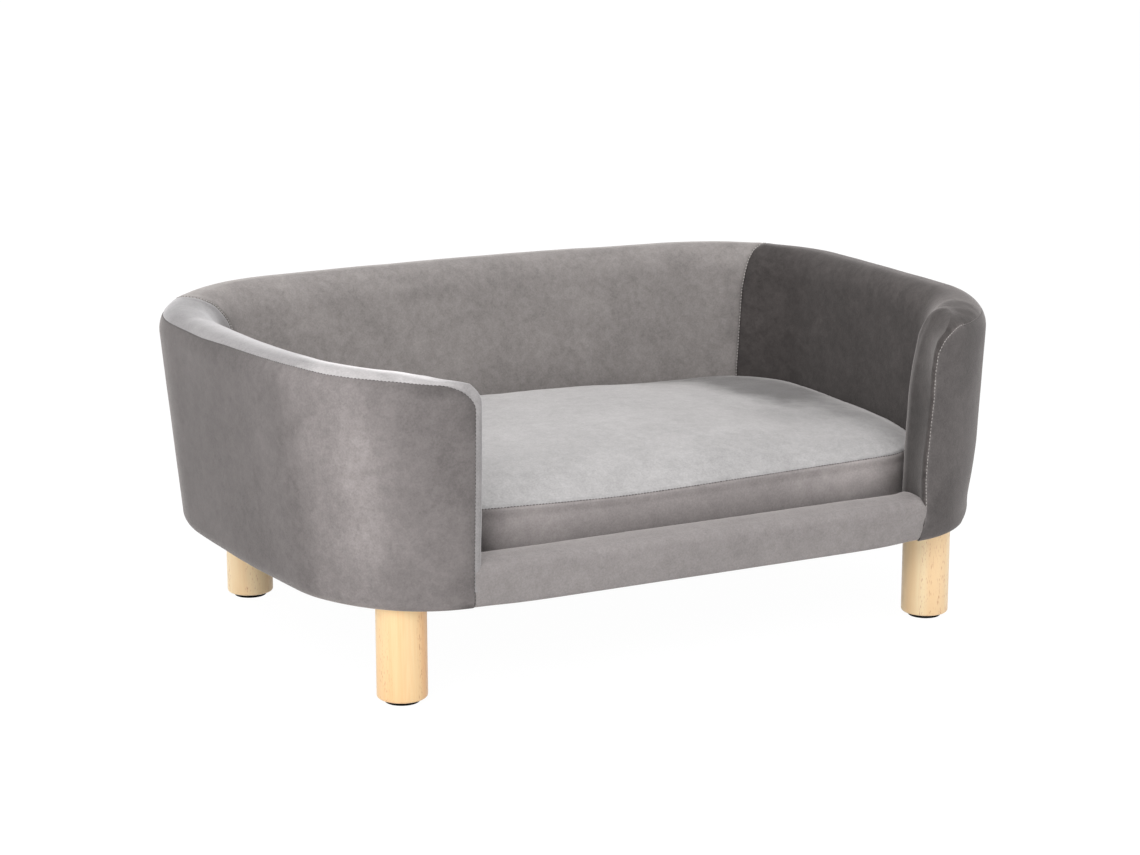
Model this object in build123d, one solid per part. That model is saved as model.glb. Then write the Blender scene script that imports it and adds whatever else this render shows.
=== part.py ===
from build123d import *
import os
from math import asin, atan2, cos, degrees, hypot, pi, radians, sin, sqrt

# A small velvet pet sofa: a tub wall on a plywood base, a loose box cushion and four round legs.
# Millimetres. Origin on the floor under the middle of the bounding box, +X to the viewer's right,
# the open front faces -Y, +Z up.

# Driving dimensions of the tub
sofa_width = 841.0
sofa_depth = 586.0
sofa_height = 341.0
body_bottom = 100.0
arm_front_width = 156.5
wall_thickness = 60.0
side_lean = 16.0
front_lean = 6.7
back_lean = 37.0
shoulder_drop = 32.0
bottom_round = 17.0
crest_round_outer = 32.0
crest_flat = 4.0
crest_round_end = 28.0
corner_start = 17.0
side_bow = 12.0
back_corner_low = 152.0
back_corner_top = 181.5
back_bow_radius = 2000.0
arm_edge_round = 1.6
arm_inner_round = 20.0

# Upholstery layers of the wall, from the outside in
cover_thickness = 1.2
wadding_thickness = 6.0
skin_thickness = 3.0
rib_width = 28.0
arm_end_foam = 30.0
fit_gap = 0.2
hem_width = 30.0
seam_drop = 14.0
seam_corner_radius = 28.0
panel_seam_angle = 40.0

# Timber frame
base_thickness = 15.0
rib_thickness = 15.0
rib_rise = 3.0
post_margin = 2.0
rail_board_thickness = 22.0
rail_board_drop = 10.5
rail_board_setback = 12.0
rail_screw_count = 4
rail_screw_margin = 50.0
rail_screw_stop = 3.0

# Front rail and deck
rail_height = 50.0
rail_depth = 46.0
rail_top_round = 14.0
rail_end_gap = 0.3
deck_pad_thickness = 8.0
deck_cloth_thickness = 1.0
dust_cover_thickness = 0.5
dust_cover_inset = 20.0

# Legs and what holds them
leg_diameter = 50.0
leg_side_inset = 113.0
leg_front_inset = 63.8
leg_back_inset = 111.2
leg_bottom_round = 3.0
glide_diameter = 35.0
glide_height = 3.0
glide_bevel = 0.8
nail_diameter = 2.4
nail_length = 15.0
nail_head_diameter = 8.0
nail_head_height = 1.2
plate_diameter = 46.0
bolt_diameter = 8.0
bolt_in_leg = 28.0
bolt_end_stop = 1.0
tee_nut_wall = 1.0
tee_nut_flange_rim = 4.5
tee_nut_flange_thickness = 1.5
plate_screw_margin = 6.0
plate_screw_count = 3
plate_screw_diameter = 3.6
plate_screw_length = 14.0
plate_screw_head = 6.8
frame_screw_diameter = 4.0
frame_screw_head = 8.0
frame_screw_head_height = 2.4
frame_screw_length = 42.0
staple_width = 10.0
staple_wire = 0.7
staple_leg = 6.0
staple_count = 32
staple_inset = 26.0

# Seat cushion
cushion_gap = 2.0
cushion_lift = 0.3
cushion_boxing = 56.0
cushion_crown = 21.0
cushion_rail_gap = 4.0
cushion_draw = 4.0
cushion_crown_run = 78.0
cushion_cover_thickness = 1.0

# Zip in the cushion's back
zip_length = 300.0
zip_tape_width = 14.0
zip_chain_width = 4.0
zip_chain_thickness = 1.6
zip_stop_length = 2.0
slider_length = 9.0
slider_width = 8.0
slider_wall = 1.2
slider_gap = 0.3
bail_wire = 1.0
bail_reach = 2.2
pull_length = 18.0
pull_width = 5.0
pull_thickness = 1.0
pull_clearance = 0.3

# Heights and insets that follow from the sizes above
shoulder_z = sofa_height - shoulder_drop
hem_z = body_bottom + dust_cover_thickness + fit_gap
base_z = hem_z + cover_thickness + fit_gap / 2
deck_z = base_z + base_thickness
rib_top = shoulder_z + rib_rise
rib_bottom = rib_top - rib_thickness
outer_seam_z = sofa_height - seam_drop
rail_top = body_bottom + rail_height
rail_board_top = rail_top - rail_board_drop
opening_half = sofa_width / 2 - arm_front_width
crest_round_inner = wall_thickness - crest_round_outer - crest_flat
wadding_inset = cover_thickness + fit_gap
outer_skin_inset = wadding_inset + wadding_thickness
rib_inset = outer_skin_inset + skin_thickness + fit_gap
inner_skin_inset = rib_inset + rib_width + fit_gap
foam_inset = inner_skin_inset + skin_thickness + fit_gap
foam_skin = cover_thickness + 2 * fit_gap
core_end = opening_half + foam_skin + arm_end_foam
post_width = rib_width - 2 * post_margin
leg_top = body_bottom
plate_thickness = base_z - leg_top
tee_nut_barrel = bolt_diameter + 2 * tee_nut_wall
tee_nut_flange = tee_nut_barrel + 2 * tee_nut_flange_rim
seat_z = deck_z + deck_pad_thickness + deck_cloth_thickness + cushion_lift
overrun = 5.0


# Plan outlines: the tub is a ring of tangent arcs at every height

def polar(centre, radius, angle):
    return (centre[0] + radius * cos(angle), centre[1] + radius * sin(angle))


def arc_points(centre, radius, start, end):
    return [polar(centre, radius, angle) for angle in (start, (start + end) / 2, end)]


def mirrored(pieces):
    """The same pieces on the left of the centre plane, walked the other way."""
    return [[(-x, y) for x, y in reversed(points)] for points in reversed(pieces)]


def wire_of(pieces, z):
    """One closed wire at height z from arcs of three points and lines of two."""
    edges = []
    for points in pieces:
        lifted = [Vector(x, y, z) for x, y in points]
        edges.append(ThreePointArc(*lifted).edge() if len(lifted) == 3 else Line(*lifted).edge())
    return Wire(edges)


def quarter(run, share):
    """Drop of a quarter round of the given run at a share of its height."""
    return run * (1 - sqrt(max(0, 1 - share ** 2)))


class Plan:
    """Centres and radii of the tub's outer outline at height z."""

    def __init__(self, z):
        fall = (shoulder_z - z) / (shoulder_z - body_bottom)
        self.half = sofa_width / 2 - side_lean * fall
        self.back = sofa_depth / 2 - back_lean * fall
        self.back_radius = back_corner_top + (back_corner_low - back_corner_top) * fall
        self.corner_x = opening_half - corner_start
        self.front_radius = self.half - self.corner_x - side_bow
        end_share = (corner_start + arm_edge_round) / self.front_radius
        self.front = sofa_depth / 2 - front_lean * fall + quarter(self.front_radius, end_share)
        self.bow_centre = (0, self.back - back_bow_radius)
        reach = self.half - self.back_radius
        widest_y = self.bow_centre[1] + sqrt((back_bow_radius - self.back_radius) ** 2 - reach ** 2)
        self.back_centre = (reach, widest_y)
        self.front_centre = (self.corner_x, self.front_radius - self.front)
        across = self.half - self.corner_x
        along = widest_y - self.front_centre[1]
        self.side_radius = (across ** 2 + along ** 2 - self.front_radius ** 2) / (2 * side_bow)
        self.side_centre = (self.half - self.side_radius, widest_y)
        self.side_start = atan2(self.front_centre[1] - widest_y, self.corner_x - self.side_centre[0])
        self.back_end = atan2(widest_y - self.bow_centre[1], reach)

    def right_side(self, inset, start):
        """Front corner, side and back corner on the right, from an angle on the front corner."""
        return [
            arc_points(self.front_centre, self.front_radius - inset, start, self.side_start),
            arc_points(self.side_centre, self.side_radius - inset, self.side_start, 0),
            arc_points(self.back_centre, self.back_radius - inset, 0, self.back_end),
        ]

    def round_the_back(self, inset, start):
        """The whole outline from the right arm's end round the back to the left arm's end."""
        side = self.right_side(inset, start)
        bow = arc_points(self.bow_centre, back_bow_radius - inset, self.back_end, pi - self.back_end)
        return side + [bow] + mirrored(side)


def crest_share(z, depth=0):
    return max(0, (z - shoulder_z) / (shoulder_drop - depth))


def outer_round(z, depth=0):
    """How far the outer face stands inside the plan at height z: round at the foot and the crest."""
    foot = quarter(bottom_round, max(0, (body_bottom + bottom_round - z) / bottom_round))
    return foot + depth + quarter(crest_round_outer - depth, crest_share(z, depth))


def ring_wire(z, outer, inner, end_x, outer_edge=0, inner_edge=0):
    """Outline of the U between two insets, cut off at the arms' ends, with rounded end corners."""
    plan = Plan(z)
    cx, cy = plan.front_centre
    outer_radius = plan.front_radius - outer
    inner_radius = plan.front_radius - inner
    outer_x = end_x + outer_edge
    inner_x = end_x + inner_edge
    outer_y = cy - sqrt((outer_radius - outer_edge) ** 2 - (outer_x - cx) ** 2)
    inner_y = cy - sqrt((inner_radius + inner_edge) ** 2 - (inner_x - cx) ** 2)
    outer_start = atan2(outer_y - cy, outer_x - cx)
    inner_start = atan2(inner_y - cy, inner_x - cx)
    right_end = [[(end_x, inner_y), (end_x, outer_y)]]
    if outer_edge:
        right_end.append(arc_points((outer_x, outer_y), outer_edge, -pi, outer_start))
    if inner_edge:
        corner = arc_points((inner_x, inner_y), inner_edge, inner_start + pi, pi)
        right_end.insert(0, corner)
    outside = plan.round_the_back(outer, outer_start)
    inside = [list(reversed(points)) for points in reversed(plan.round_the_back(inner, inner_start))]
    return wire_of(right_end + outside + mirrored(right_end) + inside, z)


def ring(levels):
    """Ruled solid through rows of z, outer inset, inner inset, end x and the two end rounds."""
    return Solid.make_loft([ring_wire(*level) for level in levels], ruled=True)


crest_shares = (0, 0.38, 0.7, 0.92, 1)


def wall_solid(depth, low_z):
    """The padded wall with its round crest and arm ends, all faces moved in by a depth."""
    rows = [low_z] + [shoulder_z + share * (shoulder_drop - depth) for share in crest_shares]
    levels = []
    for z in rows:
        share = crest_share(z, depth)
        outer = outer_round(z, depth)
        inner = wall_thickness - depth - quarter(crest_round_inner - depth, share)
        end_x = opening_half + depth + quarter(crest_round_end - depth, share)
        width_share = (inner - outer) / (wall_thickness - 2 * depth)
        edge = max(arm_edge_round - depth, fit_gap) * width_share
        levels.append((z, outer, inner, end_x, edge, (arm_inner_round - depth) * width_share))
    return ring(levels)


def closed_wire(z, inset):
    """The whole outline at height z, with its straight front."""
    plan = Plan(z)
    front_y = inset - plan.front
    front = [(-plan.corner_x, front_y), (plan.corner_x, front_y)]
    return wire_of([front] + plan.round_the_back(inset, -pi / 2), z)


def sheet(z, inset, thickness):
    """Flat board or cloth with square edges, cut to the outline at its underside."""
    return extrude(Face(closed_wire(z, inset)), thickness, dir=(0, 0, 1))


def rod(x, y, low, high, radius):
    """Upright cylinder between two heights."""
    return Pos(x, y, (low + high) / 2) * Cylinder(radius, high - low)


def block(low, high):
    """Box between its lowest and highest corners."""
    size = [b - a for a, b in zip(low, high)]
    return Pos(*[(a + b) / 2 for a, b in zip(low, high)]) * Box(*size)


def group(solids):
    return Compound(children=[piece for solid in solids for piece in solid.solids()])


# Where the legs and the posts stand

def leg_places():
    """Name, x and y of each leg."""
    reach = sofa_width / 2 - leg_side_inset
    front_y = leg_front_inset - sofa_depth / 2
    back_y = sofa_depth / 2 - leg_back_inset
    sides = (("left", -reach), ("right", reach))
    ends = (("front", front_y), ("back", back_y))
    return [(f"{end}_{side}_leg", x, y) for side, x in sides for end, y in ends]


post_line = rib_inset + rib_width / 2
arm_post_share = 0.22
corner_post_turn = 45.0
back_post_turn = 5.5
end_post_margin = 6.0


def post_place(name, z):
    """Middle and facing of a post in the wall's hollow at height z, on the right of the sofa."""
    plan = Plan(z)
    if name == "front":
        radius = plan.front_radius - post_line
        turn = asin((core_end + end_post_margin + post_width / 2 - plan.corner_x) / radius) - pi / 2
        return polar(plan.front_centre, radius, turn), turn
    if name == "arm":
        turn = plan.side_start * (1 - arm_post_share) - pi / 2 * arm_post_share
        return polar(plan.front_centre, plan.front_radius - post_line, turn), turn
    if name == "side":
        turn = plan.side_start / 2
        return polar(plan.side_centre, plan.side_radius - post_line, turn), turn
    if name == "corner":
        turn = radians(corner_post_turn)
        return polar(plan.back_centre, plan.back_radius - post_line, turn), turn
    turn = pi / 2 if name == "middle" else pi / 2 - radians(back_post_turn)
    return polar(plan.bow_centre, back_bow_radius - post_line, turn), turn


post_kinds = ("front", "arm", "side", "corner", "back")


def posts():
    """Name of each post with its kind and the side it stands on."""
    sides = (("left", -1), ("right", 1))
    rows = [(f"{side}_{kind}_post", kind, sign) for side, sign in sides for kind in post_kinds]
    return rows + [("middle_back_post", "middle", 1)]


def post_spot(kind, sign, z):
    (x, y), turn = post_place(kind, z)
    return (sign * x, y), (turn if sign > 0 else pi - turn)


def post_section(kind, sign, z):
    (x, y), turn = post_spot(kind, sign, z)
    return Plane((x, y, z), x_dir=(cos(turn), sin(turn), 0)) * Rectangle(post_width, post_width)


# Frame

def base_screw_spot(kind, sign):
    return post_spot(kind, sign, deck_z + post_width / 2)[0]


def rib_screw_spot(kind, sign):
    return post_spot(kind, sign, rib_bottom - post_width / 2)[0]


def screw(x, y, head_z, direction, radius, length, head_radius, head_height):
    """Flat-headed screw with its head's outer face at head_z, driven up or down."""
    shank_z = head_z + direction * head_height
    tip_z = head_z + direction * length
    head = rod(x, y, min(head_z, shank_z), max(head_z, shank_z), head_radius)
    return head + rod(x, y, min(shank_z, tip_z), max(shank_z, tip_z), radius)


def frame_screw(x, y, head_z, direction, grow=0, length=frame_screw_length):
    return screw(x, y, head_z, direction, frame_screw_diameter / 2 + grow, length + grow,
                 frame_screw_head / 2 + grow, frame_screw_head_height + grow)


def rail_screw_spots():
    """Screws that hold the front rail's board down to the base."""
    reach = opening_half - rail_screw_margin
    y = rail_board_setback + rail_board_thickness / 2 - Plan(base_z).front
    return [(reach * (2 * i / (rail_screw_count - 1) - 1), y) for i in range(rail_screw_count)]


def rail_screws(grow=0):
    length = rail_board_top - rail_screw_stop - base_z
    return [frame_screw(x, y, base_z, 1, grow, length) for x, y in rail_screw_spots()]


def post_screw_spots():
    return [base_screw_spot(kind, sign) for _, kind, sign in posts()]


def base_screws(grow=0):
    return [frame_screw(x, y, base_z, 1, grow) for x, y in post_screw_spots()] + rail_screws(grow)


def rib_screws(grow=0):
    spots = [rib_screw_spot(kind, sign) for _, kind, sign in posts()]
    return [frame_screw(x, y, rib_top, -1, grow) for x, y in spots]


def plate_screw_spots(x, y):
    radius = plate_diameter / 2 - plate_screw_margin
    first = atan2(0, x)
    return [polar((x, y), radius, first + 2 * pi * i / plate_screw_count) for i in range(plate_screw_count)]


def plate_screws(grow=0):
    """Wood screws whose flat heads sit inside the leg plates' holes."""
    spots = [spot for _, x, y in leg_places() for spot in plate_screw_spots(x, y)]
    return [screw(x, y, leg_top + fit_gap, 1, plate_screw_diameter / 2 + grow, plate_screw_length + grow,
                  plate_screw_head / 2 + grow, plate_thickness - 2 * fit_gap) for x, y in spots]


base_inset = max(rib_inset, outer_round(base_z) + cover_thickness + 2 * fit_gap)


def base_panel():
    """Plywood base that clears the cover where its foot is rounded."""
    panel = sheet(base_z, base_inset, base_thickness)
    flange_z = deck_z - tee_nut_flange_thickness
    for _, x, y in leg_places():
        panel -= rod(x, y, base_z - overrun, deck_z + overrun, tee_nut_barrel / 2 + fit_gap)
        panel -= rod(x, y, flange_z, deck_z + overrun, tee_nut_flange / 2 + fit_gap)
    return panel - base_screws(fit_gap) - plate_screws(fit_gap)


def post(kind, sign):
    body = loft([post_section(kind, sign, deck_z), post_section(kind, sign, rib_bottom)], ruled=True)
    x, y = base_screw_spot(kind, sign)
    u, v = rib_screw_spot(kind, sign)
    return body - frame_screw(x, y, base_z, 1, fit_gap) - frame_screw(u, v, rib_top, -1, fit_gap)


def even_ring(low, high, outer, inner, end_x):
    return ring([(low, outer, inner, end_x), (high, outer, inner, end_x)])


def top_rib():
    rib = even_ring(rib_bottom, rib_top, rib_inset, rib_inset + rib_width, core_end + fit_gap)
    return rib - rib_screws(fit_gap)


skin_foot = body_bottom + bottom_round / 2


def outer_skin():
    outer = outer_skin_inset
    return even_ring(skin_foot, rib_top, outer, outer + skin_thickness, core_end + fit_gap)


def inner_skin():
    outer = inner_skin_inset
    return even_ring(deck_z, rib_top, outer, outer + skin_thickness, core_end + fit_gap)


def front_rail_board():
    front_y = rail_board_setback - Plan(base_z).front
    reach = opening_half - cover_thickness
    board = block((-reach, front_y, deck_z), (reach, front_y + rail_board_thickness, rail_board_top))
    return board - rail_screws(fit_gap)


# Padding and covers of the wall

def wall_wadding():
    """Thin wadding between the outer skin and the outer cover."""
    inner = outer_skin_inset - fit_gap
    end_x = core_end + fit_gap
    levels = [(z, outer_round(z) + wadding_inset, inner, end_x)
              for z in (skin_foot, body_bottom + bottom_round, shoulder_z, rib_top)]
    return ring(levels)


def wall_foam():
    """Foam on the inner skin, over the rib and round the arms' ends, before it is cut at the corners."""
    frame_space = even_ring(deck_z - overrun, rib_top + fit_gap, -overrun, foam_inset, core_end)
    return wall_solid(foam_skin, deck_z) - frame_space


foot_shares = (0.2, 0.5, 1)
seam_shares = (0, 0.5, 0.87, 1)


def outer_cover_rows():
    """Heights of the outer cover with the x of its front edge, which turns a round corner at the top."""
    edge_x = opening_half + arm_edge_round
    rows = [(body_bottom + bottom_round * share, edge_x) for share in foot_shares]
    for share in seam_shares:
        z = outer_seam_z - seam_corner_radius * (1 - share)
        rows.append((z, edge_x + quarter(seam_corner_radius, share)))
    return rows


def leg_cutouts(low, high, grow):
    return [rod(x, y, low, high, plate_diameter / 2 + grow) for _, x, y in leg_places()]


def outer_cover():
    """Cover of the wall's outside, turned in under the base as a hem that clears the leg plates."""
    rows = outer_cover_rows()
    edge_x = rows[0][1]
    hem_inner = outer_round(hem_z) + hem_width
    hem_top = hem_z + cover_thickness - fit_gap
    levels = [(z, outer_round(z), hem_inner, edge_x) for z in (hem_z, hem_top)]
    rows.insert(0, (hem_z + cover_thickness, edge_x))
    levels += [(z, outer_round(z), outer_round(z) + cover_thickness, x) for z, x in rows]
    return ring(levels) - leg_cutouts(hem_z - overrun, base_z, 2 * fit_gap)


def inner_covers():
    """Cover over the crest, inside and arm ends, as one shell above the base."""
    shell = wall_solid(0, deck_z + fit_gap) - wall_solid(cover_thickness, deck_z - overrun)
    rows = [(deck_z - overrun, opening_half + arm_edge_round)] + outer_cover_rows()[len(foot_shares):]
    outer_side = ring([(z, -overrun, outer_round(z) + 2 * cover_thickness, x) for z, x in rows])
    return shell - outer_side


def side_wedge(sign):
    """Space in front of one back corner's seam, on one side of the sofa."""
    plan = Plan(shoulder_z)
    cx, cy = plan.back_centre
    reach = sofa_width
    far = polar((cx, cy), reach, radians(panel_seam_angle))
    corners = [(0, -reach), (reach, -reach), far, (cx, cy), (0, cy)]
    outline = Polyline(*[(sign * x, y) for x, y in corners], close=True)
    return extrude(make_face(outline), sofa_height + overrun)


def rail_profile(depth, low_z):
    """Section of the front rail along Y and Z, leaning as the arms' fronts do."""
    low_front = depth - Plan(body_bottom).front
    high_front = depth - Plan(rail_top).front
    back_y = rail_depth - depth - Plan(body_bottom).front
    top_z = rail_top - depth
    corners = [(low_front, low_z), (back_y, low_z), (back_y, top_z), (high_front, top_z)]
    face = Plane.YZ * make_face(Polyline(*corners, close=True))
    bottom = face.vertices().group_by(Axis.Z)[0]
    face = fillet(bottom.sort_by(Axis.Y)[0], bottom_round - depth)
    return fillet(face.vertices().group_by(Axis.Z)[-1], rail_top_round - depth)


def rail_solid(depth, low_z, end_gap):
    reach = opening_half - end_gap
    return extrude(rail_profile(depth, low_z), reach, both=True)


def rail_back_space(gap):
    """Space of the base board under the rail, from just above the hem."""
    front_y = base_inset - gap - Plan(base_z).front
    return block((-opening_half - overrun, front_y, hem_z + cover_thickness),
                 (opening_half + overrun, front_y + rail_depth, deck_z + gap))


def front_rail_cover():
    inside = rail_solid(cover_thickness, hem_z + cover_thickness, -overrun)
    return rail_solid(0, hem_z, rail_end_gap) - inside - rail_back_space(0)


def front_rail_foam():
    low_z = base_z + bottom_round / 4
    whole = rail_solid(foam_skin, low_z, rail_end_gap + fit_gap)
    front_y = rail_board_setback - fit_gap - Plan(base_z).front
    board_space = block((-opening_half - overrun, front_y, deck_z - overrun),
                        (opening_half + overrun, front_y + rail_board_thickness + 2 * fit_gap,
                         rail_board_top + fit_gap))
    return whole - rail_back_space(fit_gap) - board_space


# Deck and underside

def deck_layer(low_z, thickness, inset):
    """Layer on the base that fills the well and the mouth up to the rail."""
    plan = Plan(low_z)
    well = Face(closed_wire(low_z, wall_thickness + inset))
    mouth_front = rail_depth + inset - Plan(body_bottom).front
    mouth_back = wall_thickness + rail_depth - plan.front
    reach = opening_half - inset
    mouth = Pos(0, (mouth_front + mouth_back) / 2, low_z) * Rectangle(2 * reach, mouth_back - mouth_front)
    return extrude(well + mouth, thickness, dir=(0, 0, 1))


def deck_pad():
    return deck_layer(deck_z, deck_pad_thickness, 2 * fit_gap)


def deck_cloth():
    return deck_layer(deck_z + deck_pad_thickness, deck_cloth_thickness, 2 * fit_gap)


def dust_cover():
    return sheet(body_bottom, dust_cover_inset, dust_cover_thickness) - leg_cutouts(
        body_bottom - overrun, body_bottom + overrun, fit_gap)


def staple_spots():
    """Even spots along the dust cover's edge, with the way each one faces."""
    rim = closed_wire(body_bottom, staple_inset)
    screws = post_screw_spots() + rail_screw_spots()
    spots = []
    for i in range(staple_count):
        share = (i + 0.5) / staple_count
        point, way = rim.position_at(share), rim.tangent_at(share)
        near_leg = any(hypot(point.X - x, point.Y - y) < plate_diameter for _, x, y in leg_places())
        near_screw = any(hypot(point.X - x, point.Y - y) < staple_width for x, y in screws)
        if not (near_leg or near_screw):
            spots.append((point, degrees(atan2(way.Y, way.X))))
    return spots


def staples():
    """Wire staples that hold the dust cover's edge, legs up into the base."""
    top_z = body_bottom + staple_leg
    half, wire = staple_width / 2, staple_wire / 2
    crown = block((-half, -wire, body_bottom - staple_wire), (half, wire, body_bottom))
    legs = [block((x - wire, -wire, body_bottom), (x + wire, wire, top_z)) for x in (wire - half, half - wire)]
    shape = crown + legs
    return [Pos(point.X, point.Y, 0) * Rot(0, 0, turn) * shape for point, turn in staple_spots()]


# Legs

def leg(x, y):
    wood = rod(x, y, glide_height, leg_top, leg_diameter / 2)
    wood = fillet(wood.edges().group_by(Axis.Z)[0], leg_bottom_round)
    bolt_hole = rod(x, y, leg_top - bolt_in_leg, leg_top + overrun, bolt_diameter / 2 + fit_gap)
    nail_hole = rod(x, y, 0, nail_length + fit_gap, nail_diameter / 2 + fit_gap)
    return wood - bolt_hole - nail_hole


def hanger_bolt(x, y):
    """Headless bolt, one half in the leg and one half through the plate and the base."""
    return rod(x, y, leg_top - bolt_in_leg + bolt_end_stop, deck_z, bolt_diameter / 2)


def leg_plate(x, y):
    disc = rod(x, y, leg_top, base_z, plate_diameter / 2)
    bolt_hole = rod(x, y, leg_top - overrun, base_z + overrun, bolt_diameter / 2 + fit_gap)
    screw_holes = [rod(u, v, leg_top - overrun, base_z + overrun, plate_screw_head / 2 + fit_gap)
                   for u, v in plate_screw_spots(x, y)]
    return disc - bolt_hole - screw_holes


def tee_nut(x, y):
    """Threaded barrel with its flange let in flush with the base's top."""
    barrel = rod(x, y, base_z + fit_gap, deck_z, tee_nut_barrel / 2)
    flange = rod(x, y, deck_z - tee_nut_flange_thickness, deck_z, tee_nut_flange / 2)
    thread = rod(x, y, base_z - overrun, deck_z + overrun, bolt_diameter / 2 + fit_gap / 2)
    return barrel + flange - thread


def glide(x, y):
    disc = rod(x, y, 0, glide_height, glide_diameter / 2)
    disc = chamfer(disc.edges().group_by(Axis.Z)[0], glide_bevel)
    nail_z = glide_height - nail_head_height - fit_gap
    return disc - rod(x, y, nail_z, glide_height, nail_head_diameter / 2 + fit_gap)


def glide_nail(x, y):
    head = rod(x, y, glide_height - nail_head_height, glide_height, nail_head_diameter / 2)
    return head + rod(x, y, glide_height, nail_length, nail_diameter / 2)


# Seat cushion

cushion_side_shares = (0, 0.15, 0.35, 0.65, 0.85, 1)
cushion_crown_shares = (0.06, 0.2, 0.45, 1)
cushion_seam_z = seat_z + cushion_boxing
seat_plan = Plan(seat_z)
cushion_back_y = seat_plan.back_centre[1] + seat_plan.back_radius - wall_thickness - cushion_gap


def cushion_wire(z, inset):
    """Outline of the cushion: the well's sides, a straight back and a front bowed towards the rail."""
    plan = Plan(min(z, cushion_seam_z))
    full_inset = wall_thickness + cushion_gap + inset
    front_y = full_inset - plan.front
    bow_y = rail_depth + cushion_rail_gap + inset - plan.front
    front = [(-plan.corner_x, front_y), (0, bow_y), (plan.corner_x, front_y)]
    widest_y = plan.back_centre[1]
    radius = cushion_back_y - inset - widest_y
    centre = (plan.half - full_inset - radius, widest_y)
    side = plan.right_side(full_inset, -pi / 2)[:2] + [arc_points(centre, radius, 0, pi / 2)]
    back = [(centre[0], widest_y + radius), (-centre[0], widest_y + radius)]
    return wire_of([front] + side + [back] + mirrored(side), z)


def cushion_solid(depth):
    """Crowned box cushion, drawn in at its two seams, with all faces moved in by a depth."""
    wires = []
    for share in cushion_side_shares:
        z = seat_z + depth + (cushion_boxing - depth) * share
        wires.append(cushion_wire(z, depth + cushion_draw * (1 - sin(pi * share))))
    for share in cushion_crown_shares:
        z = cushion_seam_z + (cushion_crown - depth) * sqrt(1 - (1 - share) ** 2)
        wires.append(cushion_wire(z, depth + cushion_draw + cushion_crown_run * share))
    return Solid.make_loft(wires, ruled=True)


zip_z = seat_z + cushion_boxing / 2
zip_y = cushion_back_y - cushion_draw * (1 - sin(pi * cushion_side_shares[2]))
zip_half = zip_length / 2
chain_y = zip_y + zip_chain_thickness
chain_low = zip_z - zip_chain_width / 2
chain_high = zip_z + zip_chain_width / 2
slider_start = zip_half - slider_length
slider_top_y = chain_y + slider_gap + slider_wall
bail_y = slider_top_y + bail_reach


def zip_window(grow):
    reach = zip_half + grow
    low, high = zip_z - zip_tape_width / 2 - grow, zip_z + zip_tape_width / 2 + grow
    return block((-reach, zip_y - overrun, low), (reach, zip_y + overrun, high))


def cushion_pieces():
    """The foam and the sewn panels round it."""
    shell = cushion_solid(0) - cushion_solid(cushion_cover_thickness)
    reach = sofa_width
    sole_z = seat_z + cushion_cover_thickness
    above = block((-reach, -reach, cushion_seam_z), (reach, reach, sofa_height))
    below = block((-reach, -reach, 0), (reach, reach, sole_z))
    between = block((-reach, -reach, sole_z), (reach, reach, cushion_seam_z))
    band = shell & between
    return {
        "cushion_foam": cushion_solid(cushion_cover_thickness + fit_gap),
        "cushion_top_panel": shell & above,
        "cushion_side_band": band - zip_window(0),
        "cushion_bottom_panel": shell & below,
        "zip_tapes": (band & zip_window(0)) - block(
            (-zip_half - overrun, zip_y - overrun, zip_z - slider_gap / 2),
            (zip_half + overrun, zip_y + overrun, zip_z + slider_gap / 2)),
    }


def zip_chain():
    """Closed coil of the zip, standing on the tapes."""
    reach = zip_half - zip_stop_length
    return block((-reach, zip_y, chain_low), (reach, chain_y, chain_high))


def zip_stops():
    return [block((min(x, x + sign * zip_stop_length), zip_y, chain_low),
                  (max(x, x + sign * zip_stop_length), chain_y, chain_high))
            for sign, x in ((-1, zip_stop_length - zip_half), (1, zip_half - zip_stop_length))]


def zip_slider():
    """Saddle over the coil with an arched bail for the pull."""
    x_low = slider_start - zip_stop_length
    x_high = x_low + slider_length
    low_y = zip_y + slider_gap
    half_width = slider_width / 2
    body = block((x_low, low_y, zip_z - half_width), (x_high, slider_top_y, zip_z + half_width))
    channel = block((x_low - overrun, low_y - overrun, chain_low - slider_gap),
                    (x_high + overrun, chain_y + slider_gap, chain_high + slider_gap))
    half_wire = bail_wire / 2
    bail_top = bail_y + half_wire
    ends = [block((x, slider_top_y, zip_z - half_wire), (x + bail_wire, bail_top, zip_z + half_wire))
            for x in (x_low, x_high - bail_wire)]
    middle_x = (x_low + x_high) / 2
    bar = Pos(middle_x, bail_y, zip_z) * Rot(0, 90, 0) * Cylinder(half_wire, slider_length - bail_wire)
    return body - channel + ends + bar


def zip_pull():
    """Pull tab with a rolled eye round the bail's bar, hanging down."""
    middle_x = slider_start - zip_stop_length + slider_length / 2
    eye_inner = bail_wire / 2 + pull_clearance
    eye_outer = eye_inner + pull_thickness / 2
    at_bar = Pos(middle_x, bail_y, zip_z) * Rot(0, 90, 0)
    half = pull_thickness / 2
    tab = block((middle_x - pull_width / 2, bail_y - half, zip_z - pull_length),
                (middle_x + pull_width / 2, bail_y + half, zip_z - eye_inner))
    eye = at_bar * Cylinder(eye_outer, pull_width)
    return tab + eye - at_bar * Cylinder(eye_inner, pull_width + overrun)


# All the nodes

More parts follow.
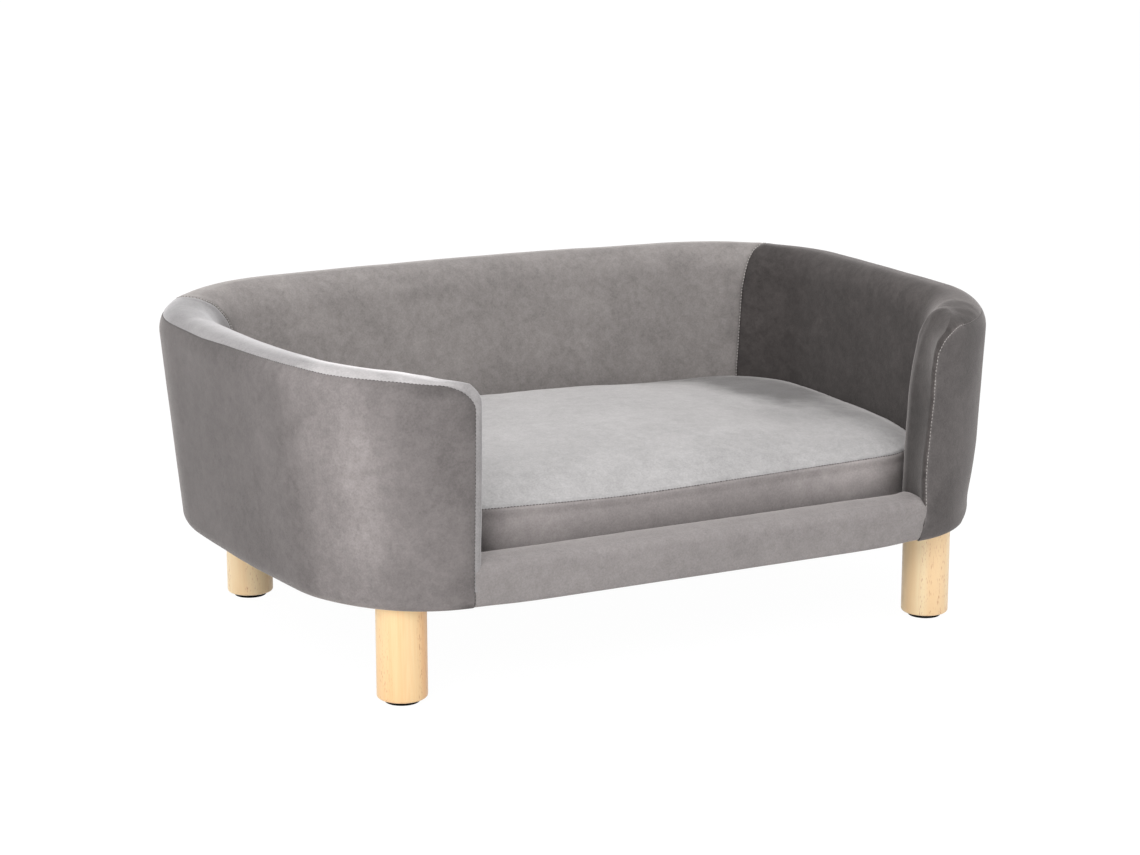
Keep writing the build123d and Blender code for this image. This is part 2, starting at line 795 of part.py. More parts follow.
def build():
    """Every node's shape by name."""
    nodes = {
        "base_panel": base_panel(),
        "top_rib": top_rib(),
        "outer_skin": outer_skin(),
        "inner_skin": inner_skin(),
        "front_rail_board": front_rail_board(),
        "base_screws": group(base_screws()),
        "rib_screws": group(rib_screws()),
        "wall_wadding": wall_wadding(),
        "outer_cover": outer_cover(),
        "front_rail_foam": front_rail_foam(),
        "front_rail_cover": front_rail_cover(),
        "deck_pad": deck_pad(),
        "deck_cloth": deck_cloth(),
        "dust_cover": dust_cover(),
        "staples": group(staples()),
    }
    for name, kind, sign in posts():
        nodes[name] = post(kind, sign)
    covers, foam = inner_covers(), wall_foam()
    left, right = side_wedge(-1), side_wedge(1)
    nodes["left_arm_foam"] = foam & left
    nodes["right_arm_foam"] = foam & right
    nodes["back_foam"] = foam - left - right
    nodes["left_arm_cover"] = covers & left
    nodes["right_arm_cover"] = covers & right
    nodes["back_inner_cover"] = covers - left - right
    places = [(x, y) for _, x, y in leg_places()]
    for name, x, y in leg_places():
        nodes[name] = leg(x, y)
    nodes["leg_plates"] = group(leg_plate(x, y) for x, y in places)
    nodes["leg_plate_screws"] = group(plate_screws())
    nodes["hanger_bolts"] = group(hanger_bolt(x, y) for x, y in places)
    nodes["tee_nuts"] = group(tee_nut(x, y) for x, y in places)
    nodes["glides"] = group(glide(x, y) for x, y in places)
    nodes["glide_nails"] = group(glide_nail(x, y) for x, y in places)
    nodes.update(cushion_pieces())
    nodes["zip_chain"] = zip_chain()
    nodes["zip_stops"] = group(zip_stops())
    nodes["zip_slider"] = zip_slider()
    nodes["zip_pull"] = zip_pull()
    return nodes


os.makedirs("parts", exist_ok=True)
for node_name, shape in build().items():
    export_step(shape, f"parts/{node_name}.step")
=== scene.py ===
from math import asin, atan2, cos, exp, hypot, pi, radians, sin, sqrt

import bmesh
import bpy
from mathutils import Matrix, Vector, geometry, kdtree, noise
from mathutils.bvhtree import BVHTree


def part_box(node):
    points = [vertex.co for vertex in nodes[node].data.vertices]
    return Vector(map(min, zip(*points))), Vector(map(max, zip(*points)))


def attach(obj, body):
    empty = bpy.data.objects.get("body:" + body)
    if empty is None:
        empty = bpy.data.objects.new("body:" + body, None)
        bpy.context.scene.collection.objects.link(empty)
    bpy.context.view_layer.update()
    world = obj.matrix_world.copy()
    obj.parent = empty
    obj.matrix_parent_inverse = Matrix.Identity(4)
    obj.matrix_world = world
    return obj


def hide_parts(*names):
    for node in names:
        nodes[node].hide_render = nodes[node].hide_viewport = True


# A small velvet pet sofa: covers, padding, stitching and finishes round the fixed frame.
# Shapes are worked out in millimetres and turned into metres as each mesh is made.

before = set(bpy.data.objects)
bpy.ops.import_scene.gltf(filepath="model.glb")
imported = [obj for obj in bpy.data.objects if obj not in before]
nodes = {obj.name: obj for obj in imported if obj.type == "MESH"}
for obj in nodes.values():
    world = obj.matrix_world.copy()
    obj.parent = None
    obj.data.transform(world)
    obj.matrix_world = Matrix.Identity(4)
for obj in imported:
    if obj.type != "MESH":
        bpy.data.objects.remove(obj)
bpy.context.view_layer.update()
scene = bpy.context.scene
MM = 0.001

# Sizes of the frame that the covers follow
sofa_width, sofa_depth, sofa_height = 841.0, 586.0, 341.0
body_bottom, deck_z = 100.0, 117.0
opening_half = 264.0
wall_thickness = 60.0
side_lean, front_lean, back_lean = 16.0, 6.7, 37.0
shoulder_drop = 32.0
shoulder_z = sofa_height - shoulder_drop
bottom_round = 17.0
crest_outer, crest_inner, crest_end = 32.0, 24.0, 28.0
corner_start, side_bow = 17.0, 12.0
back_corner_low, back_corner_top = 152.0, 181.5
back_bow_radius = 2000.0
edge_round, inner_round = 1.6, 20.0
seam_z, seam_corner = 327.0, 28.0
hem_z, hem_width = 100.7, 30.0
rail_depth = 46.0
deck_top = 126.0
seat_z, boxing, crown, crown_run = 126.3, 56.0, 21.0, 78.0
cushion_inset, cushion_draw, rail_gap = 62.0, 4.0, 4.0
cushion_seam_z = seat_z + boxing
zip_z = 154.3
cover_thickness = 1.2

# The upholstered forms, each with the left arm's value and the right arm's value where they differ
LEFT, RIGHT = -1, 1
end_reach = {LEFT: 246.0, RIGHT: 264.0}
end_edge = {LEFT: 9.5, RIGHT: 1.6}
end_slant = {LEFT: 6.0, RIGHT: 12.0}
# How far the crest comes down towards the arm's end: pairs of distance from the end and drop
crest_fall = {
    LEFT: ((0, 18), (15, 19), (31, 17.5), (48, 14.7), (75, 10.2), (94, 7.6), (147, 3), (185, 0.5), (200, 0)),
    RIGHT: ((0, 5), (31, 5.5), (48, 5), (75, 3.5), (94, 2.5), (147, 1), (185, 0)),
}
# How much further the crest comes down at its inner edge
inner_fall = {
    LEFT: ((0, -2), (30, -1), (62, 1), (97, 4), (132, 5), (175, 6.5), (225, 7.5), (300, 9), (430, 9),
           (520, 3), (590, 0)),
    RIGHT: ((0, 0), (1, 0)),
}
# How far the arm's end leans outwards, or inwards where it is below 0: pairs of height and distance, at its
# outer and its inner edge
outer_lean = {
    LEFT: ((110, 0), (341, 0)),
    RIGHT: ((100, -9), (104, -8), (112, -5), (120, -3), (135, -1.8), (150, -3), (165, -4.2), (187, -3.5),
            (219, -1), (250, 1.4), (282, 1.6), (303, 3.6), (317, 7), (325, 14), (341, 19)),
}
inner_lean = {
    LEFT: ((220, 0), (297, 10), (325, 20), (341, 24)),
    RIGHT: ((200, 0), (250, 2), (277, 7), (297, 14), (310, 20), (316, 25), (325, 31), (341, 34)),
}
foot_round_front = 6.0
# How much rounder the right arm's outer corner is at its foot: pairs of height and distance inwards, and where
# that starts, is whole, starts to fade and has gone, in distance from the arm's end
foot_soft = ((100, 0), (105, 1.8), (108.5, 2.4), (117, 4), (126, 4.2), (138, 3.2), (150, 2), (165, 0.9),
             (185, 0))
foot_soft_run = (30, 110, 190, 330)
# How much higher the seam below the crest runs than on the plain form: pairs of distance from the end and
# rise
seam_rise = {
    LEFT: ((0, 4.2), (60, 4.2), (110, 3.6), (140, 3.6), (170, 4.6), (243, 3.2), (313, 2), (363, 0)),
    RIGHT: ((0, 0), (1, 0)),
}
# Distances from the arm's end are measured along a round of this radius, and then along the straight side
end_radius, end_quarter = 140.0, 220.0
# Share of the crest's fall that the seam below it takes, and the heights where the falls and the rise start
seam_share, fall_start_z, inner_fall_start_z, rise_start_z = 0.63, 255, 270, 262
# How far from its end the arm leans: where the lean starts to fade, and where it has gone
lean_fade, lean_end = 5, 105
rail_crown_z, rail_seam_z, rail_foot_z = 146.2, 141.0, 98.6
rail_round = 11.0
rail_ends = {LEFT: 255.2, RIGHT: 264.6}
# How the padding of the seat lies over the plain form: behind, and along the front edge by place across
seat_raise = 6.2
seat_front = ((-264, -1.4), (-215, -2.3), (-60, -5.2), (80, -2.8), (170, -2.5), (264, -3.2))


# Outline of the tub: tangent arcs at every height

def polar(centre, radius, angle):
    return (centre[0] + radius * cos(angle), centre[1] + radius * sin(angle))


def arc(centre, radius, first, last, shares):
    """Points on an arc at the given shares of its turn."""
    return [polar(centre, radius, between(first, last, s)) for s in shares]


def parts_of(count):
    """The shares at the ends of equal parts of a run."""
    return [i / count for i in range(1, count + 1)]


def quarter(run, share):
    """Drop of a quarter round of the given run at a share of its height."""
    return run * (1 - sqrt(max(0.0, 1 - share ** 2)))


class Plan:
    """Centres and radii of the tub's outer outline at height z."""

    def __init__(self, z):
        fall = (shoulder_z - z) / (shoulder_z - body_bottom)
        self.half = sofa_width / 2 - side_lean * fall
        self.back = sofa_depth / 2 - back_lean * fall
        self.back_radius = back_corner_top + (back_corner_low - back_corner_top) * fall
        self.corner_x = opening_half - corner_start
        self.front_radius = self.half - self.corner_x - side_bow
        end_share = (corner_start + edge_round) / self.front_radius
        self.front = sofa_depth / 2 - front_lean * fall + quarter(self.front_radius, end_share)
        self.bow_centre = (0.0, self.back - back_bow_radius)
        reach = self.half - self.back_radius
        widest_y = self.bow_centre[1] + sqrt((back_bow_radius - self.back_radius) ** 2 - reach ** 2)
        self.back_centre = (reach, widest_y)
        self.front_centre = (self.corner_x, self.front_radius - self.front)
        across = self.half - self.corner_x
        along = widest_y - self.front_centre[1]
        self.side_radius = (across ** 2 + along ** 2 - self.front_radius ** 2) / (2 * side_bow)
        self.side_centre = (self.half - self.side_radius, widest_y)
        self.side_start = atan2(self.front_centre[1] - widest_y, self.corner_x - self.side_centre[0])
        self.back_end = atan2(widest_y - self.bow_centre[1], reach)


def crest_share(z):
    return max(0.0, (z - shoulder_z) / shoulder_drop)


def outer_inset(z, foot_round=bottom_round):
    """How far the outer face stands inside the plan: round at the foot and at the crest."""
    foot = quarter(foot_round, max(0.0, (body_bottom + foot_round - z) / foot_round))
    return foot + quarter(crest_outer, crest_share(z))


def inner_inset(z):
    return wall_thickness - quarter(crest_inner, crest_share(z))


def steps(length, first, most, growth=1.4):
    """Shares of a run whose steps grow from the first one to the widest."""
    marks, step = [0.0], first
    while marks[-1] < length:
        marks.append(marks[-1] + step)
        step = min(step * growth, most)
    return [mark / marks[-1] for mark in marks]


def backwards(shares):
    return [1 - share for share in reversed(shares)]


def between(a, b, share):
    return a + (b - a) * share


def eased(value, low, high):
    """0 below low, 1 above high, and a smooth rise between them."""
    t = max(0.0, min(1.0, (value - low) / (high - low)))
    return t * t * (3 - 2 * t)


def read_off(pairs, at):
    """Value of a table of pairs at a place, straight between its entries."""
    if at <= pairs[0][0]:
        return pairs[0][1]
    for (a, low), (b, high) in zip(pairs, pairs[1:]):
        if at <= b:
            return between(low, high, (at - a) / (b - a))
    return pairs[-1][1]


# Columns of the wall's grid along the outline, in shares of each arc
band_shares = backwards(steps(23, 0.8, 3.0))
front_shares = steps(190, 0.8, 4.5)
side_shares = [i / 52 for i in range(53)]
corner_a_shares = backwards(steps(125, 0.8, 4.5))
corner_b_shares = steps(150, 0.8, 4.5)
bow_shares = [i / 38 for i in range(39)]
inner_front_shares = [i / (len(band_shares) + len(front_shares) - 2)
                      for i in range(len(band_shares) + len(front_shares) - 1)]


def outline(plan, inset, start, seam_turn, first_shares, front_inset=None):
    """Points from an angle on the front corner to the middle of the back, on the right."""
    first = inset if front_inset is None else front_inset
    points = []
    for s in first_shares:
        radius = plan.front_radius - between(first, inset, eased(s, 0.1, 0.8))
        points.append(polar(plan.front_centre, radius, between(start, plan.side_start, s)))
    radius = plan.side_radius - inset
    points += [polar(plan.side_centre, radius, plan.side_start * (1 - s)) for s in side_shares[1:]]
    radius = plan.back_radius - inset
    points += arc(plan.back_centre, radius, 0, seam_turn, corner_a_shares[1:])
    points += arc(plan.back_centre, radius, seam_turn, plan.back_end, corner_b_shares[1:])
    return points + arc(plan.bow_centre, back_bow_radius - inset, plan.back_end, pi / 2, bow_shares[1:])


def end_facts(side, z):
    """Where the arm's end stands at height z, and how wide its two edge rounds are."""
    share = crest_share(z)
    width = (inner_inset(z) - outer_inset(z)) / wall_thickness if z > shoulder_z else 1.0
    return end_reach[side] + quarter(crest_end, share), end_edge[side] * width, inner_round * width


def edge_turn(side, plan, z):
    """Angle on the front corner where the outer face turns into the arm's end."""
    end_x, edge, _ = end_facts(side, z)
    radius = plan.front_radius - outer_inset(z) - edge
    return asin((end_x + edge - plan.corner_x) / radius) - pi / 2


def seam_turn_front(side, plan, z):
    """Angle of the seam between the outer cover and the arm's cover, which turns a round corner."""
    if z <= seam_z:
        _, edge, _ = end_facts(side, z)
        share = max(0.0, (z - seam_z + seam_corner) / seam_corner)
        radius = plan.front_radius - outer_inset(z) - edge
        across = end_reach[side] + end_edge[side] + quarter(seam_corner, share)
        return max(edge_turn(side, plan, z), asin((across - plan.corner_x) / radius) - pi / 2)
    low = Plan(seam_z)
    return seam_turn_front(side, low, seam_z) + edge_turn(side, plan, z) - edge_turn(side, low, seam_z)


def end_row(side, plan, z):
    """Points across the arm's end, from the outer face round both edges to the inner face."""
    end_x, edge, inner = end_facts(side, z)
    cx, cy = plan.front_centre
    outer_radius = plan.front_radius - outer_inset(z)
    inner_radius = plan.front_radius - inner_inset(z)
    outer_x, inner_x = end_x + edge, end_x + inner
    outer_y = cy - sqrt((outer_radius - edge) ** 2 - (outer_x - cx) ** 2)
    inner_y = cy - sqrt((inner_radius + inner) ** 2 - (inner_x - cx) ** 2)
    outer_start = atan2(outer_y - cy, outer_x - cx)
    inner_start = atan2(inner_y - cy, inner_x - cx)
    row = arc((outer_x, outer_y), edge, outer_start, -pi, [0.0] + parts_of(8))
    row += [(end_x, between(outer_y, inner_y, s / 18)) for s in range(1, 18)]
    row += arc((inner_x, inner_y), inner, pi, inner_start + pi, [0.0] + parts_of(9))
    return row, inner_start


# Angle of the seam at each back corner: pairs of height and degrees, down the inner face
corner_turns = {
    LEFT: ((200, 53), (300, 49), (309, 46.5), (320, 42), (330, 38.5), (335, 35), (338, 32.5), (341, 31)),
    RIGHT: ((150, 53.5), (200, 51), (230, 49.2), (260, 47.6), (290, 46), (309, 44), (325, 42), (335, 40.3),
            (341, 38)),
}
corner_turns_outside = {LEFT: ((309, 42), (335, 37), (341, 31)), RIGHT: ((309, 37), (341, 38))}


def back_seam_turn(side, z, inside):
    """Angle of the seam at a back corner, which leans towards the back as it goes down the inner face."""
    return radians(read_off((corner_turns if inside else corner_turns_outside)[side], z))


def arm_form(side, x, y, z):
    """Moves a point of the plain wall, given on the right, to where the padding lies on that side."""
    plan = Plan(z)
    cx, cy = plan.front_centre
    spread = hypot(x - cx, y - cy)
    turn = atan2(y - cy, x - cx)
    on_round = y < cy and turn > -pi * 0.9
    run = end_radius * (turn + pi / 2) if on_round else end_quarter + y - cy
    run -= end_reach[side] - plan.corner_x
    if z < seam_z:
        weight = seam_share * eased(z, fall_start_z, seam_z)
    else:
        weight = between(seam_share, 1.0, (z - seam_z) / (sofa_height - seam_z))
    if turn < plan.side_start:
        centre, radius = plan.front_centre, plan.front_radius
    elif y < plan.back_centre[1]:
        centre, radius = plan.side_centre, plan.side_radius
    else:
        centre, radius = plan.back_centre, plan.back_radius
    out = Vector((x - centre[0], y - centre[1]))
    inset = radius - out.length
    drop = read_off(crest_fall[side], run) * weight
    inner_share = max(0.0, min(1.0, (inset - 6) / 34))
    drop += read_off(inner_fall[side], run) * eased(z, inner_fall_start_z, 330) * inner_share
    rise = read_off(seam_rise[side], run)
    if rise > 0 and z > rise_start_z:
        rise *= eased(z, rise_start_z, seam_z) if z < seam_z else (sofa_height - z) / (sofa_height - seam_z)
        rise *= 1 - eased(inset - outer_inset(z), 0, 20)
        inwards = outer_inset(min(sofa_height, z + rise)) - outer_inset(z)
        drop -= rise
        spread -= inwards
        x, y = x - out.x / out.length * inwards, y - out.y / out.length * inwards
    if side == RIGHT and z < foot_soft[-1][0] and inset < wall_thickness / 2:
        start, whole, fading, gone = foot_soft_run
        soft = read_off(foot_soft, z) * eased(run, start, whole) * (1 - eased(run, fading, gone))
        x, y = x - soft * cos(max(turn, -pi / 2)), y - soft * sin(min(turn, 0))
        spread -= soft
    if run < lean_end + 5:
        share = max(0.0, min(1.0, (plan.front_radius - spread - 4) / 48))
        lean = between(read_off(outer_lean[side], z), read_off(inner_lean[side], z) + end_slant[side], share)
        x, y = polar((cx, cy), spread, turn + lean / end_radius * (1 - eased(run, lean_fade, lean_end)))
    return x, y, z - drop


def lifted(points, z, side):
    """Points of the wall at height z, given on the right, as they lie on that side."""
    found = [arm_form(side, x, y, z) for x, y in points]
    return [Vector((side * x, y, height)) for x, y, height in found]


def both_sides(half, z):
    """A closed flat ring at height z from its right half, which starts and ends in the middle."""
    return [Vector((x, y, z)) for x, y in half] + [Vector((-x, y, z)) for x, y in reversed(half[1:-1])]


def finder_of(spots):
    """A tree that finds the nearest of the given places by its number."""
    tree = kdtree.KDTree(len(spots))
    for i, spot in enumerate(spots):
        tree.insert(spot, i)
    tree.balance()
    return tree


def spread_inside(ring, spacing):
    """Points and triangles that fill a flat ring, evenly spread."""
    flat = [Vector((p.x, p.y)) for p in ring]
    low = Vector((min(p.x for p in flat), min(p.y for p in flat)))
    high = Vector((max(p.x for p in flat), max(p.y for p in flat)))
    count = len(flat)
    edges = [(i, (i + 1) % count) for i in range(count)]
    row_step = spacing * 0.866
    rim = finder_of([(p.x, p.y, 0) for p in flat])
    for r in range(int((high.y - low.y) / row_step) + 1):
        for c in range(int((high.x - low.x) / spacing) + 1):
            p = Vector((low.x + (c + 0.5 * (r % 2)) * spacing, low.y + r * spacing * 0.866))
            if rim.find((p.x, p.y, 0))[2] > spacing * 0.7:
                flat.append(p)
    found = geometry.delaunay_2d_cdt(flat, edges, [], 1, 1e-4)
    return found[0], found[2]


class Patchwork:
    """Grids of points that are sewn into one skin, each face with the number of its panel."""

    def __init__(self):
        self.points, self.faces, self.panels = [], [], []

    def grid(self, rows, panel):
        """Quads between rows of equal length; panel is a number or a number for each column."""
        width = len(rows[0])
        base = len(self.points)
        for row in rows:
            self.points += row
        for r in range(len(rows) - 1):
            for c in range(width - 1):
                low = base + r * width + c
                self.faces.append((low, low + 1, low + 1 + width, low + width))
                self.panels.append(panel if isinstance(panel, int) else panel[c])

    def patch(self, points, panel):
        base = len(self.points)
        self.points += points
        self.faces.append(tuple(range(base, base + len(points))))
        self.panels.append(panel)

    def fill(self, ring, spacing, panel, height):
        """An even net inside a flat ring, each point at the height that is worked out for it."""
        base = len(self.points)
        points, faces = spread_inside(ring, spacing)
        self.points += [Vector((p.x, p.y, height(p))) for p in points]
        self.faces += [tuple(base + i for i in face) for face in faces]
        self.panels += [panel] * len(faces)

    def skin(self, weld=0.02):
        """One bmesh with its doubles merged and its faces turned outwards."""
        bm = bmesh.new()
        corners = [bm.verts.new(p) for p in self.points]
        for face, panel in zip(self.faces, self.panels):
            made = bm.faces.new([corners[i] for i in face])
            made.material_index = panel
            made.smooth = True
        bmesh.ops.remove_doubles(bm, verts=bm.verts, dist=weld)
        flat = [face for face in bm.faces if face.calc_area() < 1e-7]
        bmesh.ops.delete(bm, geom=flat, context="FACES_ONLY")
        loose = [vert for vert in bm.verts if not vert.link_faces]
        bmesh.ops.delete(bm, geom=loose, context="VERTS")
        bmesh.ops.recalc_face_normals(bm, faces=bm.faces)
        bm.normal_update()
        return bm


def turned_over(bm, wrong):
    """Turns the faces over where they look the wrong way."""
    if wrong:
        bmesh.ops.reverse_faces(bm, faces=bm.faces)
    bm.normal_update()


def follow(bm, finder, line):
    """A line of points on the skin as it lies after shaping, with the way out of the cloth."""
    found = [bm.verts[finder.find(p)[1]] for p in line]
    return [(v.co.copy(), v.normal.copy()) for v in found]


# The wall: one skin whose panels are cut apart after it is shaped

OUTER, LEFT_ARM, RIGHT_ARM, BACK = range(4)

wall_levels = [deck_z + (seam_z - seam_corner - deck_z) * i / 50 for i in range(51)]
wall_levels += [seam_z - seam_corner + seam_corner * sin(pi / 2 * i / 15) for i in range(1, 16)]
crest_steps = (0.5, 1.2, 2.1, 3.2, 4.6, 6.2, 7.8, 9.3, 10.7, 11.9, 12.8, 13.5, 13.85, 14.0)
crest_levels = [seam_z + step for step in crest_steps]
corner_row = 50
seam_row = len(wall_levels) - 1


def wall_half(work, side):
    """One half of the wall's skin, from the arm's end to the middle of the back."""
    arm = RIGHT_ARM if side == RIGHT else LEFT_ARM
    seam_column = len(band_shares) + len(front_shares) + len(side_shares) + len(corner_a_shares) - 4
    columns = seam_column + len(corner_b_shares) + len(bow_shares) - 2
    owners = [arm] * seam_column + [BACK] * (columns - seam_column)
    inner_rows, outer_rows, end_rows, band_rows, cover_rows = [], [], [], [], []
    for level, z in enumerate(wall_levels + crest_levels):
        plan = Plan(z)
        inset = outer_inset(z)
        ends, inner_start = end_row(side, plan, z)
        end_rows.append(lifted(ends, z, side))
        turn = back_seam_turn(side, z, True)
        inside = outline(plan, inner_inset(z), inner_start, turn, inner_front_shares)
        inner_rows.append(lifted(inside, z, side))
        first, second = edge_turn(side, plan, z), seam_turn_front(side, plan, z)
        band = arc(plan.front_centre, plan.front_radius - inset, first, second, band_shares)
        rest = outline(plan, inset, second, back_seam_turn(side, z, False), front_shares)
        if corner_row <= level <= seam_row:
            band_rows.append(lifted(band, z, side))
        if level >= seam_row:
            outer_rows.append(lifted(band[:-1] + rest, z, side))
        if level <= seam_row:
            cover_rows.append(lifted(rest, z, side))
    foot, hem = [], []
    turns = 14
    deepest = asin((body_bottom + bottom_round - hem_z) / bottom_round)
    for i in range(turns, 0, -1):
        z = body_bottom + bottom_round - bottom_round * sin(deepest * i / turns)
        plan = Plan(z)
        rest = outline(plan, outer_inset(z), seam_turn_front(side, plan, z), back_seam_turn(side, z, False),
                       front_shares, outer_inset(z, foot_round_front))
        foot.append(lifted(rest, z, side))
    plan = Plan(hem_z)
    for share in (1, 0.66, 0.33):
        run = hem_width * share
        rest = outline(plan, outer_inset(hem_z) + run, seam_turn_front(side, plan, hem_z),
                       back_seam_turn(side, hem_z, False), front_shares,
                       outer_inset(hem_z, foot_round_front) + run)
        hem.append(lifted(rest, hem_z, side))
    work.grid(hem + foot + cover_rows, OUTER)
    work.grid(band_rows, arm)
    work.grid(outer_rows, owners)
    work.grid(end_rows, arm)
    work.grid(inner_rows, owners)
    work.grid([outer_rows[-1][1:], inner_rows[-1][1:]], owners[1:])
    top_end = end_rows[-1]
    outside_end, inside_end = outer_rows[-1][1::-1], inner_rows[-1][:2]
    work.patch(outside_end + top_end[1:-1] + inside_end, arm)
    over_crest = outer_rows + inner_rows[::-1]
    return {
        "front": [row[0] for row in foot[3:] + cover_rows],
        "crest": cover_rows[-1][1:],
        "corner": [row[seam_column] for row in over_crest],
    }


def smooth_bump(distance, width):
    return exp(-(distance / width) ** 2)


def to_line(point, line):
    """Distance to a polyline of points, and the share of its length at the nearest place."""
    best, at = 1e9, 0.0
    count = len(line) - 1
    for i in range(count):
        a, b = line[i], line[i + 1]
        run = b - a
        t = max(0.0, min(1.0, (point - a).dot(run) / run.length_squared))
        far = (a + run * t - point).length
        if far < best:
            best, at = far, (i + t) / count
    return best, at


# Depth of a fold's troughs as a share of its height, and how far they lie from its ridge, in its widths
trough_share, trough_place = 0.45, 1.9


def folds(point, lines):
    """Height of the pulled folds at a point: each is a ridge with a shallow trough on both sides."""
    total = 0.0
    for line, height, width in lines:
        # far from a fold there is nothing to add
        low = [min(p[i] for p in line) - 4 * width for i in range(3)]
        high = [max(p[i] for p in line) + 4 * width for i in range(3)]
        if any(point[i] < low[i] or point[i] > high[i] for i in range(3)):
            continue
        distance, share = to_line(point, line)
        taper = sin(pi * min(1.0, max(0.0, share))) ** 0.6 if 0 < share < 1 else 0.0
        trough = trough_share * smooth_bump(distance - trough_place * width, width)
        total += height * taper * (smooth_bump(distance, width) - trough)
    return total


def line_of(*points):
    return [Vector(p) for p in points]


wall_folds = [
    # right arm's end, fanning from the seam's upper end over the crest
    (line_of((362, -234, 331), (345, -226, 336), (326, -214, 336)), 0.3, 6.0),
    (line_of((350, -248, 330), (328, -248, 333), (308, -236, 328)), 0.4, 5.0),
    # left arm's end
    (line_of((-300, -268, 322), (-286, -262, 318), (-274, -250, 310)), 0.5, 4.5),
    # right back corner, beside the seam
    (line_of((320, 128, 262), (326, 116, 240), (330, 104, 214)), 0.8, 6.0),
    (line_of((334, 96, 250), (338, 84, 226), (340, 74, 204)), 0.6, 6.0),
]
# Depth and width of the seams: along the crest, down the left and the right end, and at the back corners
CREST_SEAM, LEFT_SEAM, RIGHT_SEAM, CORNER_SEAM = range(4)
seam_forms = {
    CREST_SEAM: (-0.5, 1.0), LEFT_SEAM: (-0.9, 1.2), RIGHT_SEAM: (0.5, 1.6), CORNER_SEAM: (-1.1, 1.3),
}


# The seams down the arms' ends lie in front of, within and below these
end_seam_y, end_seam_x, end_seam_z = -200, 315, 326


def seam_kind(edge):
    """Which seam an edge between two panels lies on: only the arms' ends have one that runs down."""
    panels = {face.material_index for face in edge.link_faces}
    if BACK in panels and OUTER not in panels:
        return CORNER_SEAM
    middle = (edge.verts[0].co + edge.verts[1].co) / 2
    if middle.y > end_seam_y or abs(middle.x) > end_seam_x or middle.z > end_seam_z:
        return CREST_SEAM
    return LEFT_SEAM if middle.x < 0 else RIGHT_SEAM


# Places where the pile lies another way, with painted shade in the corners, beside the seams and low on the
# cover, and painted highlights on the arms' crests: panel, place, spread along the axes and change of tone
wall_pile_and_light_marks = [
    (OUTER, (-262, -292, 300), (16, 30, 30), -0.16),
    (OUTER, (-268, -290, 122), (22, 30, 18), -0.12),
    (OUTER, (-262, -290, 101), (16, 30, 7), -0.4),
    (OUTER, (-395, -40, 322), (50, 70, 12), -0.14),
    (OUTER, (-352, -250, 235), (26, 50, 80), 0.18),
    (OUTER, (-345, -255, 126), (50, 50, 30), -0.16),
    (OUTER, (-292, -285, 318), (34, 30, 9), -0.3),
    (OUTER, (300, -286, 130), (30, 30, 40), -0.12),
    (OUTER, (360, -246, 320), (60, 50, 30), -0.16),
    (OUTER, (328, -260, 290), (46, 40, 44), -0.2),
    (LEFT_ARM, (-390, 120, 330), (46, 90, 24), -0.2),
    (LEFT_ARM, (-300, -262, 215), (60, 50, 90), -0.16),
    (LEFT_ARM, (-350, -222, 332), (64, 60, 24), 0.5),
    (LEFT_ARM, (-306, -264, 324), (36, 40, 16), 0.4),
    (RIGHT_ARM, (345, -60, 334), (60, 200, 20), 0.16),
    (RIGHT_ARM, (335, 160, 270), (34, 50, 70), 0.24),
    (RIGHT_ARM, (352, 60, 262), (20, 18, 22), 0.3),
    (RIGHT_ARM, (300, -225, 250), (18, 16, 90), 0.1),
    (RIGHT_ARM, (322, -214, 328), (22, 20, 12), 0.35),
    (RIGHT_ARM, (266, -268, 180), (16, 34, 100), -0.34),
    (BACK, (320, 212, 245), (22, 30, 80), -0.42),
    (BACK, (60, 250, 325), (190, 50, 26), -0.1),
    (BACK, (262, 240, 325), (26, 40, 14), -0.14),
    (BACK, (-320, 170, 285), (34, 40, 44), -0.26),
    (BACK, (-250, 215, 262), (60, 30, 24), -0.1),
]
# Painted shade beside the seams and a painted highlight beside the right arm's end seam: change of tone on the
# outer cover and on the others, and how far it reaches
seam_painted_shading = {
    CREST_SEAM: (-0.16, 0.06, 5.0), LEFT_SEAM: (-0.12, 0.0, 4.0), RIGHT_SEAM: (0.55, 0.75, 2.2),
    CORNER_SEAM: (-0.3, -0.3, 2.6),
}
# The most that the marks, painted shade among them, may darken the pile, as a share of its tone
deepest_tone = 0.64


def pile_and_light_tone(panel, point, marks, uneven=1.0):
    """Change of tone at a point of a panel from the marks, painted light and shade as well as the pile's lie,
    with uneven borders.
    """
    total = 0.0
    fine = 0.2 * noise.noise(point / 9)
    for owner, place, spread, tone in marks:
        if owner != panel:
            continue
        away = sqrt(sum(((point[i] - place[i]) / spread[i]) ** 2 for i in range(3)))
        if away < 2:
            away += uneven * (0.4 * noise.noise(point / 24 + Vector(place)) + fine)
            total += tone * (1 - eased(away, 0.2, 1.4))
    return max(total, -deepest_tone)


def painted_seam_shading(panel, point, kind, distance):
    """Painted shade beside a seam, and a painted highlight beside the right arm's end seam, broken up there
    where the thread shows.
    """
    outer, inner, reach = seam_painted_shading[kind]
    uneven = 1.0
    if kind == RIGHT_SEAM:
        uneven = max(0.0, 1 + 1.2 * noise.noise(point / 7) + 0.9 * noise.noise(point / 3))
    return (outer if panel == OUTER else inner) * uneven * exp(-distance / reach)


# How high the cloth puckers beside its seams, and how much less it moves where it is pulled tight at the hem
crest_gather, seam_gather, tight_hem = 0.12, 0.35, 0.2


